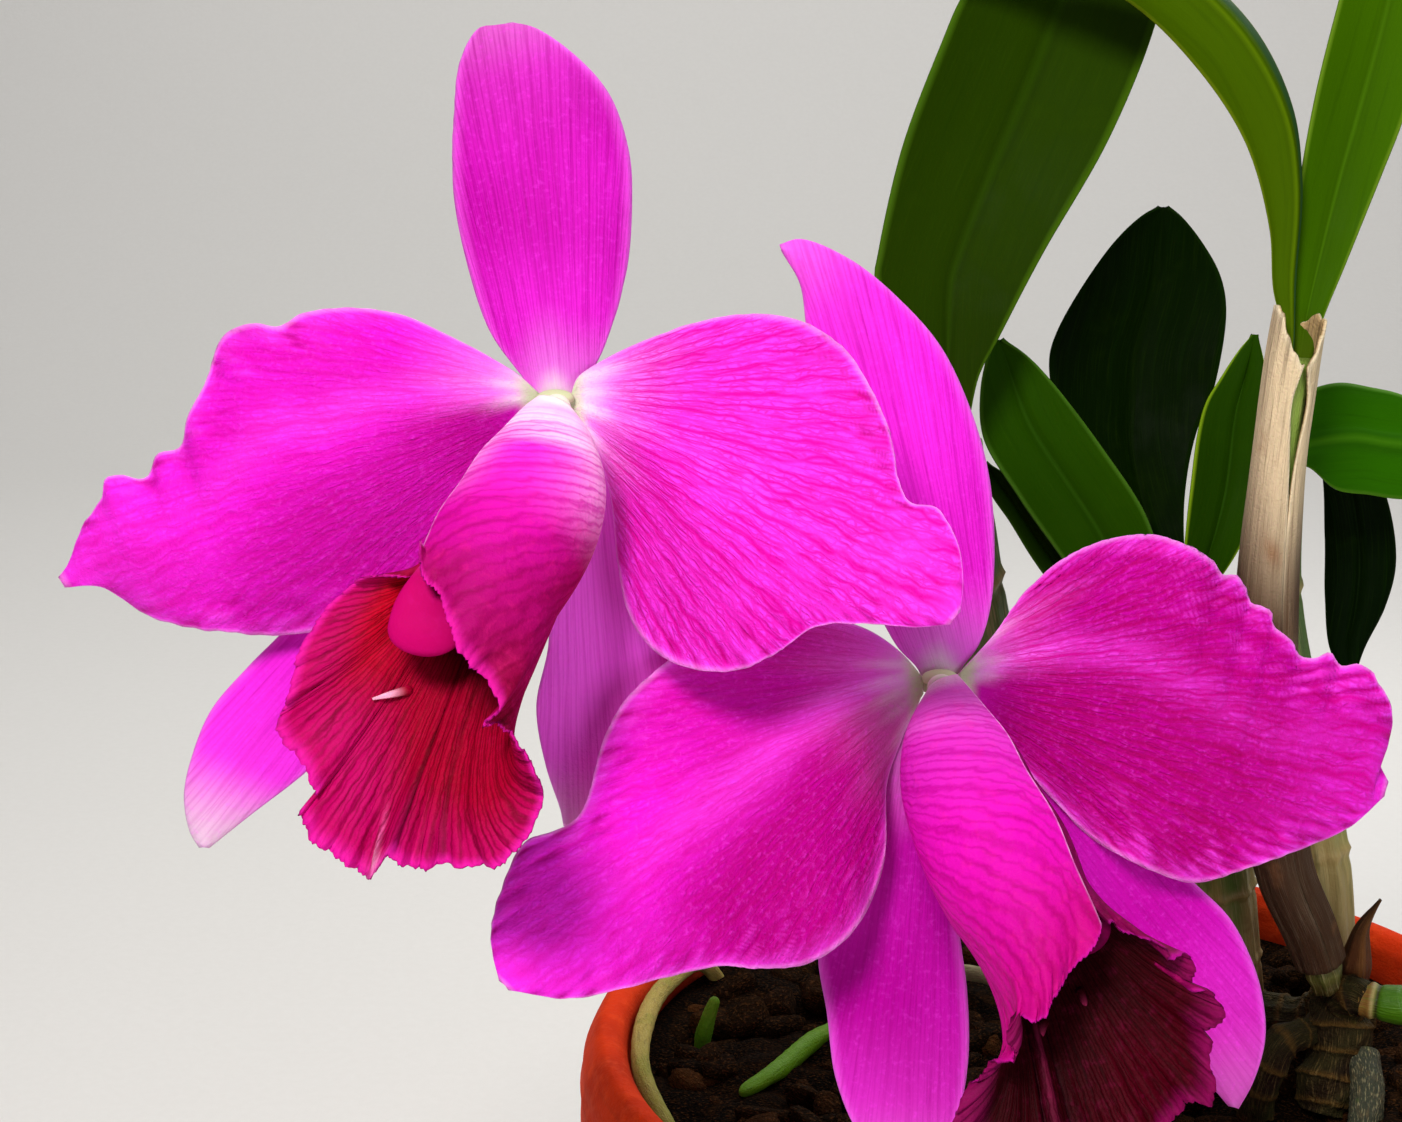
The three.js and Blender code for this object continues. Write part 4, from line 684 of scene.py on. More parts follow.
# Lips: a tube of rings from the claw to the throat, [x, y, z, half width, half depth], then a frilled front.
# margin: stations with the angle of their column around the tube and their own point; fineRim: a finer
# outline between two stations. reach and lean: how far the front bends forward and aside, along the margin.
# keels: place, drift, width, start and height; lines: place, drift, width, start, strength and colour.
# rimWide and rimInner: widths of the light rim outside and inside. paleAndLitSide: pale tint around the
# tube, partly its own paler colour and partly a painted highlight down its side; flank and under: where its
# flank gets painted shade and where its tucked layer, darkened as painted shade, lies; redden: where its red
# begins and is full.
# spurs: foot, tip, lift and size. glowPart: where around the front its inside glows.
lips = {
    "left_lip": {
        "across": [0.927, -0.376, 0], "back": [0.194, 0.477, 0.858],
        "spurs": [[[-24.2, -47.4], [-29.8, -48.8], 3.2, 0.62]],
        "flank": [0.1, 0.26], "redden": [0.6, 1.2], "under": [0.9, 0.97],
        "paleAndLitSide": [0.55, 0, 0.1, 0.75, 0.9, 0.5, 0.5, 0.9, 0.9, 0.9, 0.7, 0.6, 0.4, 0.3, 0.3, 0.3, 0.4],
        "rimWide": [0.12, 0.14, 0.14, 0.1, 0.08, 0.1, 0.12, 0.14, 0.14, 0.16, 0.12, 0.05],
        "rimInner": [0.08, 0.08, 0.07, 0.08, 0.07, 0.07, 0.07, 0.06, 0.06, 0.07, 0.07, 0.05],
        "glowPart": 0.86, "lean": [0, 0],
        "reach": [0.35, 0.35, 0.5, 0.9, 0.85, 0.55, 0.35, 0.35, 0.35, 0.35, 0.35],
        "keels": [[0.553, 0.13, 0.005, 0.7, 0.6], [0.53, 0.02, 0.008, 0.05, -0.7],
            [0.57, 0.13, 0.006, 0.4, -0.4], [0.49, 0, 0.014, 0, 0.5], [0.455, 0, 0.01, 0, -0.4]],
        "lines": [[0.532, 0.02, 0.006, 0.05, 0.75, "2c0006"], [0.552, 0.13, 0.0024, 0.76, 0.7, "ee70b8"],
            [0.554, 0.13, 0.003, 0.86, 0.6, "f8dcee"], [0.556, 0, 0.009, 0.94, 0.9, "fdf0f8"],
            [0.475, 0, 0.006, 0.05, 0.4, "3a000a"]],
        "colours": {
            "clawOut": "f1f1e4", "paleOut": "fbc8ee", "bodyOut": "ee34cc", "midOut": "dc08ac",
            "mouthOut": "98044c", "flareOut": "84042c", "seam": "f8a8ec",
            "spur": "ffb0d0", "throat": "360004", "bodyIn": "a0002a", "edgeIn": "b8045e", "glow": "e00020",
            "rim": "e41ca4", "rimIn": "e41ca4", "under": "a0043c",
        },
        "rings": [[0.2, -1.3, 3.2, 2.5, 2.1], [0.3, -4.8, 6, 5.8, 4.3], [-0.6, -9.8, 9.5, 8.9, 6.8],
            [-2.5, -14.5, 12.5, 11, 8.5], [-5, -20, 16, 12, 9.5], [-8, -25, 19.5, 12.5, 10],
            [-11, -30.5, 23, 12, 9.5]],
        "margin": [[158, -22, -23, 29], [144, -21.5, -28, 31], [125, -19.5, -32, 34],
            [100, -17.5, -36, 36.5], [75, -15, -41, 38.5], [50, -13, -45, 40], [25, -9, -50, 41],
            [8, -11.5, -52.5, 40], [-5, -9.5, -53.5, 41], [-18, -6, -56, 42], [-28, -3, -60.5, 41.5],
            [-38, -2, -66.5, 41], [-48, -5.5, -72.5, 40], [-58, -10, -75.5, 39], [-68, -17.5, -76.5, 37.5],
            [-78, -23, -76.6, 36.2], [-84, -26.9, -74, 35.6], [-92, -31, -78.6, 34], [-100, -35, -75, 33],
            [-108, -39, -71.5, 32], [-116, -42, -68, 31], [-124, -39, -64, 30], [-132, -42, -57.5, 28],
            [-140, -46, -53.5, 26], [-148, -43.5, -48.5, 25], [-157, -41.5, -41.5, 24],
            [-166, -38.5, -35, 23.5], [-175, -32.5, -29.5, 24], [-184, -27, -28.5, 25.5],
            [-193, -22.5, -29.5, 27.5], [-206, -20.5, -30, 28.5]],
    },
    "right_lip": {
        "across": [0.928, 0.373, 0], "back": [-0.167, 0.415, 0.894],
        "spurs": [[[17.2, -57.8], [16.2, -62], 0.9, 0.75], [[23.6, -52.5], [25.2, -57.2], 0.7, 0.6]],
        "flank": [0.7, 0.9], "redden": [0.65, 1.35], "under": [0.74, 0.86],
        "paleAndLitSide": [0.5, 0.3, 0, 0, 0, 0, 0, 0.2],
        "rimWide": [0.05, 0.05, 0.06, 0.12, 0.3, 0.4, 0.4, 0.2, 0.06, 0.05, 0.05, 0.05, 0.05, 0.05, 0.05],
        "rimInner": [0.05, 0.06, 0.45, 0.5, 0.4, 0.3, 0.12, 0.08, 0.06, 0.06, 0.1, 0.16, 0.2, 0.3, 0.35],
        "fineRim": [
            [4, 8.5, [[16, -57.5], [13.5, -57.2], [11.7, -58.8], [11.1, -60.6], [12.3, -61.6], [12, -63.4],
                [8.9, -64.7], [6.4, -67.5], [3.6, -70.3], [2.4, -73.4]]],
            [18.5, 27, [[41.5, -72.5], [42.4, -70.7], [45.3, -70.8], [46, -67.2], [44.8, -64.1], [46, -61.4],
                [45.3, -59.8], [47.2, -58.2], [47.4, -55.1], [46.1, -53.6], [44.7, -51.6], [41.8, -52.2],
                [43.1, -50.1], [43, -47.7], [41.3, -46.2], [37.9, -46.7], [37.9, -45.2], [35.7, -43.7],
                [33.2, -43.2], [31, -42.9], [29.5, -41.2], [28.5, -41]]],
        ],
        "glowPart": 0.2, "lean": [0, 1.5, 6.5, 8, 5, 0, 0, 0, 0, 0, 0],
        "reach": [0.35, 0.6, 0.95, 0.85, 0.6, 0.4, 0.35, 0.35, 0.35, 0.35, 0.35],
        "keels": [[0.52, 0, 0.009, 0.2, 0.8], [0.5, 0, 0.007, 0.05, -0.5], [0.545, 0, 0.007, 0.05, -0.5]],
        "lines": [[0.5, 0, 0.006, 0.1, 0.7, "10000a"], [0.52, 0, 0.006, 0.3, 0.25, "a02858"],
            [0.543, 0, 0.006, 0.1, 0.6, "140004"]],
        # the inside of this lip, its spurs and inner rim are far darker than the left lip's: painted shade
        # where the tube shades it
        "colours": {
            "clawOut": "e0c8d4", "paleOut": "d44cc0", "bodyOut": "d010b2", "midOut": "de0cb4",
            "mouthOut": "b4046e", "flareOut": "b00458", "seam": "fbc0f0",
            "spur": "8c2048", "throat": "0c0002", "bodyIn": "2c0005", "edgeIn": "42000e", "glow": "40000e",
            "rim": "c4189c", "rimIn": "860a52", "under": "680040",
        },
        "rings": [[0.5, -1.1, 3.2, 2.5, 2.1], [0.6, -5.3, 6, 5.8, 4.3], [1.4, -9.3, 9, 8.1, 6.4],
            [3.5, -15, 12.5, 10.5, 8], [6, -21.5, 16, 11.5, 9], [10, -29.5, 20, 12.5, 9.5],
            [13.5, -37, 23, 12, 9]],
        "margin": [[36, 27, -41, 33], [48, 25.5, -44.5, 35], [60, 21.5, -50.5, 38], [85, 18.5, -54, 39],
            [110, 16, -57.5, 39], [135, 11.5, -58.5, 38], [155, 11, -62.5, 37], [170, 6.5, -67.5, 36],
            [182, 3, -71.5, 35], [193, 1.5, -77, 34], [204, 2, -83, 34], [214, 6, -88, 35],
            [224, 11, -91, 35.5], [235, 17, -90.5, 36], [247, 22, -93.5, 35.5], [258, 28, -91, 34],
            [268, 33, -86.5, 33], [278, 36, -81, 31.5], [288, 38.5, -75, 30], [298, 44, -71, 27],
            [308, 45.5, -66, 25.5], [317, 45, -60.5, 24], [326, 47, -56, 22.5], [335, 42.5, -51.5, 23.5],
            [344, 41.5, -47, 25], [353, 36, -43.5, 27], [370, 31, -42, 28.5], [398, 28.5, -41, 30]],
    },
}
lipLook = {
    "tubeRows": 32, "flareRows": 50, "columns": 350, "tubeShare": 0.56, "thickness": 0.6,
    "rimThickness": 0.3, "seamLift": 1.0, "seamShare": 0.22, "frillDepth": 1.3, "frillReach": 0.8,
    "frillCount": 10, "ruffle": 0.65, "ruffleCount": 27, "crimp": 0.35, "crimpCount": 66, "pleat": 0.05,
    "pleats": 34, "thread": 0.22, "threadCount": 150, "veinStep": 1.9, "veinTurn": 32, "fan": 20,
    "girth": 33, "innerVeins": 17, "seamTint": 0.65, "tuckedShadeTint": 0.85, "glowTint": 0.8, "rimTint": 0.75,
    "rimInTint": 0.85, "spurRadii": [1.4, 1.1, 0.8, 0.2], "spurSides": 20, "spurSteps": 24,
    "fineReach": 0.7, "uneven": 0.11,
}


def lipSurface(origin, lip, look):
    across, back = np.array(lip["across"]), np.array(lip["back"])
    forward = np.cross(across, back)
    tube = look["tubeShare"]
    r = np.concatenate([np.linspace(0, tube, look["tubeRows"], endpoint=False),
                        np.linspace(tube, 1, look["flareRows"])])[:, None]
    part = np.linspace(0, 1, look["columns"])[None, :]
    station = valueAlong(lip["margin"], part)
    angle = np.radians(station[..., 0])
    overlap = (1 - part / look["seamShare"]).clip(0) - (1 - (1 - part) / look["seamShare"]).clip(0)
    lift = look["seamLift"] * overlap  # one edge of the tube laps over the other
    ring = valueAlong(lip["rings"], (r / tube).clip(0, 1))
    centre = ring[..., :3]
    point = centre + across * ((ring[..., 3] + lift) * np.cos(angle))[..., None]
    point = point + back * ((ring[..., 4] + lift) * np.sin(angle))[..., None]
    outward = point - centre
    f = ((r - tube) / (1 - tube)).clip(0, 1)
    frill = np.sin(2 * math.pi * look["frillCount"] * part)
    wander = softNoise(30 * part, 0 * part, 71)
    fine = look["ruffle"] * np.sin(2 * math.pi * look["ruffleCount"] * part + 2.2 * wander)
    fine = fine + look["crimp"] * np.sin(2 * math.pi * look["crimpCount"] * part + 3 * wander)
    fine = fine * np.sin(math.pi * part).clip(0) ** 0.5
    thread = look["thread"] * np.sin(2 * math.pi * look["threadCount"] * part + 5 * wander)
    end = station[..., 1:] + 0 * point
    shift = 0 * point
    for first, last, rim in lip.get("fineRim", []):  # a finer outline between two stations
        count = len(lip["margin"]) - 1
        inside = (part[0] >= first / count) & (part[0] <= last / count)
        finer = valueAlong(rim, (part[0, inside] * count - first) / (last - first)) - end[:, inside, :2]
        shift[:, inside, :2] = finer * f[..., None] ** 5
    length = np.linalg.norm(end - point, axis=-1)
    reach = look["frillReach"] * frill + look["fineReach"] * fine + thread
    end = end + (end - point) * (reach / np.maximum(length, 1))[..., None]
    bend = point + forward * (valueAlong(lip["reach"], part) * length)[..., None]
    bend = bend + across * valueAlong(lip["lean"], part)[..., None]
    point = point + (bend - point) * (2 * f / (1 + f))[..., None]
    point = point + (end - point) * (f * f)[..., None] + shift
    point[..., 2] += look["frillDepth"] * f ** 3 * frill + f ** 6 * fine + f ** 12 * thread
    grid = placeAt(origin, point[..., 0], point[..., 1], point[..., 2])
    stepAlong = np.linalg.norm(np.diff(grid, axis=0), axis=-1)
    far = np.concatenate([np.zeros((1, grid.shape[1])), np.cumsum(stepAlong, axis=0)])
    side = 2 * np.abs(part - 0.5) * look["girth"]
    along = look["veinTurn"] * np.tanh(far / look["veinTurn"])
    vein = along / (1 + side / look["fan"])  # veins leave the middle line level, then turn forward
    return grid, r, part, f, vein, side, far, outward, point


def lipPiece(name, lip, look, material):
    origin = bloomOf(name)
    grid, r, part, f, vein, side, far, outward, flat = lipSurface(origin, lip, look)
    normal = gridNormals(grid)
    world = outward[..., :1] * right3 + outward[..., 1:2] * planeUp + outward[..., 2:] * planeOut
    toward = np.sign((normal * world)[: look["tubeRows"]].sum())
    pleat = np.sin(2 * math.pi * look["pleats"] * part)
    relief = look["pleat"] * pleat * ease(0.0, 0.3, f) * (1 - ease(0.85, 1, f))
    for place, drift, width, low, height in lip["keels"]:  # inward keels and the grooves beside them
        keel = bell(place + drift * (1 - f), width, part) * ease(low, low + 0.2, f)
        relief = relief - height * keel * (1 - ease(0.94, 1, f))
    grid = grid + normal * (toward * relief)[..., None]
    colours = lip["colours"]
    s = (r / look["tubeShare"]).clip(0, 1) + 0 * part
    outside = tinted(paint(colours["clawOut"]), colours["paleOut"], ease(0.02, 0.14, s))
    uneven = look["uneven"] * softNoise(vein * 2, side / 6, 8)
    outside = tinted(outside, colours["bodyOut"], ease(0.08, 0.4, s + uneven))
    outside = tinted(outside, colours["midOut"], ease(0.45, 0.85, s))
    flank = ease(*lip["flank"], part)  # painted shade: the tube's shaded flank takes the dark red first
    reddened = ease(*lip["redden"], s + 0.6 * f + 0.4 * flank) * (0.7 + 0.3 * flank)
    outside = tinted(outside, colours["mouthOut"], reddened)
    outside = tinted(outside, colours["flareOut"], ease(0.2, 0.8, f) * (0.3 + 0.7 * flank))
    # pale tint around the tube: partly its own paler colour, partly a painted highlight down its side
    pale = valueAlong(lip["paleAndLitSide"], part) * (1 - ease(0.3, 0.85, s))
    outside = tinted(outside, colours["paleOut"], pale)
    seam = ease(0.009, 0, part) + 0 * r
    outside = tinted(outside, colours["seam"], look["seamTint"] * seam)
    under = ease(*lip["under"], part) * ease(0.1, 0.4, s)  # painted shade on the layer tucked under the seam
    outside = tinted(outside, colours["under"], look["tuckedShadeTint"] * under)
    inside = tinted(paint(colours["throat"]), colours["bodyIn"], ease(0.02, 0.42, f))
    inside = tinted(inside, colours["edgeIn"], ease(0.55, 0.95, f + 0.1 * softNoise(20 * part, 3 * f, 9)))
    glow = bell(lip["glowPart"], 0.1, part) * (1 - ease(0.3, 0.85, f))
    inside = tinted(inside, colours["glow"], look["glowTint"] * glow)
    for place, drift, width, low, strength, code in lip["lines"]:
        line = bell(place + drift * (1 - f), width * (0.4 + f), part) * ease(low, low + 0.15, f) * strength
        inside = tinted(inside, code, line)
    rimLine = ease(0, 1, (f - 1) / valueAlong(lip["rimWide"], part) + 1)
    rimInside = ease(0, 1, (f - 1) / valueAlong(lip["rimInner"], part) + 1)
    inside = tinted(inside, colours["rimIn"], look["rimInTint"] * rimInside)
    outside = tinted(outside, colours["rim"], look["rimTint"] * rimLine)
    outerPlace = np.stack([vein / look["veinStep"] + 60, side + far, 0 * far], -1)
    innerPlace = np.stack([2 * (part - 0.5) * look["innerVeins"] + 0 * far, far, 0 * far + 1], -1)
    showOut = ease(0.08, 0.35, s) * (1 - 0.8 * rimLine)
    showIn = (0.35 + 0.65 * ease(0, 0.3, f)) * (1 - 0.7 * rimLine)
    outer = {"tint": outside, "veinPlace": outerPlace, "veinShow": showOut}
    inner = {"tint": inside, "veinPlace": innerPlace, "veinShow": showIn}
    faces = (outer, inner) if toward > 0 else (inner, outer)
    thickness = look["thickness"] + (look["rimThickness"] - look["thickness"]) * ease(0.7, 1, f)
    parts = [bladePart(grid, thickness + 0 * part, *faces)]
    for foot, tip, lift, size in lip["spurs"]:  # small points on the floor of the throat
        gap = np.hypot(flat[..., 0] - foot[0], flat[..., 1] - foot[1]) + 100 * ((part < 0.4) | (f < 0.02))
        z = flat[..., 2].reshape(-1)[gap.argmin()]
        path = np.array([[*foot, z - 1], [*foot, z + 0.5], [*tip, z + lift]], float)
        line = smoothLine(placeAt(origin, path[:, 0], path[:, 1], path[:, 2]))
        *thick, point = look["spurRadii"]
        radii = [radius * size for radius in thick] + [point]
        ring, t, turn = stemRings(line, radii, look["spurSides"], look["spurSteps"])
        tint = tinted(paint(colours["bodyIn"]), colours["spur"], ease(0.25, 0.7, t + 0 * turn))
        parts.append(stemPart(ring, {"tint": tint, "veinPlace": roundPlace(1, turn, t), "veinShow": 0.0}))
    tiles = [(0, 0, 1, 0.95)] + [(0.2 * k, 0.955, 0.2 * k + 0.19, 1) for k in range(len(parts) - 1)]
    build(name, parts, material, tiles)


lipTissue = tissueMaterial("lipTissue", {
    "roughness": 0.55, "shine": 0.04, "glow": 0.06, "bend": 0.2, "streakWide": 2.4, "streakLong": 0.14,
    "streak": 0.3,
    "veins": [[1, 0.14, 0.8, 0.75, -10], [2, 0.18, 0.85, 0.8, -10], [4, 0.24, 1, 0.6, 24]],
    "veinTone": (0.7, 0.05, 0.56), "innerTone": (0.32, 0.02, 0.16), "veinDepth": 0.95,
    "sparkle": 0.14, "spark": "ff2a8c", "grain": 2200, "crinkle": 560, "crinkled": 0.9,
    "bumpDepth": 0.00035})
for name, lip in lips.items():
    lipPiece(name, lip, lipLook, lipTissue)
print("lips made")


# Columns.
columns = {
    "left_column": {
        "size": 1, "tip": "b80460",
        "path": [[0, 0, -2], [0, -1.4, 2.6], [-3.6, -9, 9.5], [-10, -20, 18.5], [-16.8, -29.5, 26],
            [-20.6, -35.5, 29], [-21.6, -41, 31.4]],
    },
    "right_column": {
        "size": 0.72, "tip": "600034",
        "path": [[0, 0, -2], [0.4, -1.4, 2.6], [4, -9, 9.5], [9, -20, 16], [15, -31, 20.5],
            [22.6, -40, 24.5], [26.8, -44.8, 27]],
    },
}
columnLook = {
    "radii": [1, 1.2, 2.2, 3.1, 4.1, 5, 5.6, 5.8], "sides": 44, "steps": 110, "flat": 0.8, "roundFrom": 0.94,
    "base": "e8e8cc", "body": "f07ad8", "knobRings": 14, "knobSides": 28, "knobs": [
        [[0, 0.3, 0.4], [3.1, 2.6, 1.4], "c8cea0"], [[0.2, -1.3, 3], [2.4, 1.9, 2.3], "e2dfcc"]],
}


def knobPart(middle, size, colour, look):  # a closed rounded knob
    polar = np.linspace(0.06, math.pi - 0.06, look["knobRings"])[:, None]
    turn = turnsOf(look["knobSides"])
    ring = np.stack([size[0] * np.sin(polar) * np.cos(turn), size[1] * np.sin(polar) * np.sin(turn),
                     -size[2] * np.cos(polar) + 0 * turn], -1)
    return stemPart(middle + ring, {"tint": colour, "veinPlace": np.zeros(3), "veinShow": 0.0})


def columnPiece(name, column, look, material):
    origin, path = bloomOf(name), np.array(column["path"], float)
    line = smoothLine(placeAt(origin, path[:, 0], path[:, 1], path[:, 2]))

    def rounded(t, turn, radius):
        over = ((t - look["roundFrom"]) / (1 - look["roundFrom"])).clip(0, 0.995)
        return radius * np.sqrt(1 - over ** 2)
    radii = np.array(look["radii"]) * column["size"]
    ring, t, turn = stemRings(line, radii, look["sides"], look["steps"], rounded)
    depth = (ring - ring.mean(1, keepdims=True)) @ planeOut
    ring = ring - planeOut * (look["flat"] * ease(0.4, 0.8, t) * depth)[..., None]
    s = t + 0 * turn
    colour = tinted(paint(look["base"]), look["body"], ease(0.2, 0.5, s))
    colour = tinted(colour, column["tip"], ease(0.55, 0.85, s))
    place = roundPlace(4, turn, 50 * t)
    parts = [stemPart(ring, {"tint": colour, "veinPlace": place, "veinShow": 0.3 * (1 - s)})]
    for middle, size, code in look["knobs"]:  # the greenish heart and the rounded top of the tube
        parts.append(knobPart(placeAt(origin, *map(np.array, middle)), size, paint(code), look))
    build(name, parts, material)


columnTissue = tissueMaterial("columnTissue", {
    "roughness": 0.6, "shine": 0.02, "glow": 0.12, "bend": 0.03, "streakWide": 0.8, "streakLong": 0.05,
    "streak": 0.15, "veins": [[0.5, 0.1, 0.6, 0.5, -10]], "veinTone": (0.8, 0.2, 0.6), "veinDepth": 0.3,
    "sparkle": 0.04, "spark": "ff2ac0", "grain": 2400, "crinkle": 400, "crinkled": 0.9, "bumpDepth": 0.0001})
for name, column in columns.items():
    columnPiece(name, column, columnLook, columnTissue)
print("columns made")


# Leaves, stems, roots and bark share one kind of strand pattern: x and z run around, y along.
def strandMaterial(name, look):
    material, shader = newMaterial(name, {
        "Roughness": look["roughness"], "Specular IOR Level": look["shine"],
        "Subsurface Weight": look["glow"], "Subsurface Radius": (0.6, 1.0, 0.3), "Subsurface Scale": 0.001})
    place = attribute(material, "veinPlace", "Vector")
    tint = attribute(material, "tint", "Color")
    wide, long = look["wide"], look["long"]
    strand = noise(material, scaled(material, place, (wide, long, wide)), 1.0, 3, 0.6)
    fine = noise(material, scaled(material, place, (4 * wide, 3 * long, 4 * wide)), 1.0, 2)
    cells = addNode(material, "TexCoord").outputs["Object"]
    blotch = noise(material, cells, look["blotchScale"], 3, 0.6)
    grain = noise(material, cells, look["grainScale"], 2, 0.6)
    colour = stained(material, tint, strand, 0.5, 0.72, look["darkShare"], look["dark"])
    colour = stained(material, colour, fine, 0.5, 0.75, look["lightShare"], look["light"])
    colour = stained(material, colour, blotch, 0.56, 0.7, look["spotShare"], look["spot"])
    height = weighted(material, (strand, 1.0), (fine, 0.6), (grain, look["grainHeight"]))
    rough = spread(material, blotch, 0.35, 0.65, look["roughness"] - 0.06, look["roughness"] + 0.1)
    return finishMaterial(material, shader, colour, height, look["bumpDepth"], rough)


# Skins: roughness, shine and glow; how often strands repeat around and along; scales of blotches and of
# grain; the dark, light and spot tints, each with its share; height of the grain and depth of the bumps.
skinTable = {
    "leafSkin": [0.5, 0.012, 0.03, 0.9, 0.03, 90, 1500, "102800", 0.16, "5c8410", 0.02, "5c8410", 0.01, 0.5,
        0.00006],
    "bulbSkin": [0.5, 0.4, 0.03, 0.8, 0.05, 110, 1600, "3c4a18", 0.45, "c2b27a", 0.35, "6b5026", 0.4, 0.5,
        0.0003],
    "paperSkin": [0.72, 0.15, 0.05, 1.6, 0.035, 80, 1800, "4e3018", 0.5, "ecdcb8", 0.08, "9a6c46", 0.4, 0.6,
        0.0004],
    "rootSkin": [0.75, 0.25, 0.04, 1.4, 0.3, 140, 2200, "5c4a2a", 0.4, "e0d49c", 0.25, "6c8420", 0.3, 1.0,
        0.00035],
    "greenRootSkin": [0.5, 0.15, 0.05, 1.2, 0.25, 160, 2200, "2c4c04", 0.3, "8cb424", 0.12, "8c8838", 0.15,
        1.0, 0.00025],
    "rhizomeSkin": [0.75, 0.12, 0.0, 1.1, 0.12, 120, 1300, "181004", 0.6, "8c7444", 0.3, "484a18", 0.4, 1.4,
        0.0007],
    "freshSkin": [0.45, 0.2, 0.05, 0.8, 0.08, 140, 1800, "2c5408", 0.35, "9cc850", 0.12, "7c9c30", 0.15,
        0.4, 0.0002],
    "scaleSkin": [0.7, 0.3, 0.02, 1.5, 0.06, 130, 1800, "2c1608", 0.5, "9c6c3c", 0.25, "4c2c16", 0.4, 0.6,
        0.0004],
    "barkSkin": [0.9, 0.03, 0.0, 0.35, 1.2, 160, 1200, "100803", 0.6, "84542c", 0.28, "452a14", 0.25, 1.6,
        0.0009],
}
skinKeys = ["roughness", "shine", "glow", "wide", "long", "blotchScale", "grainScale", "dark", "darkShare",
            "light", "lightShare", "spot", "spotShare", "grainHeight", "bumpDepth"]
skins = {name: strandMaterial(name, dict(zip(skinKeys, row))) for name, row in skinTable.items()}

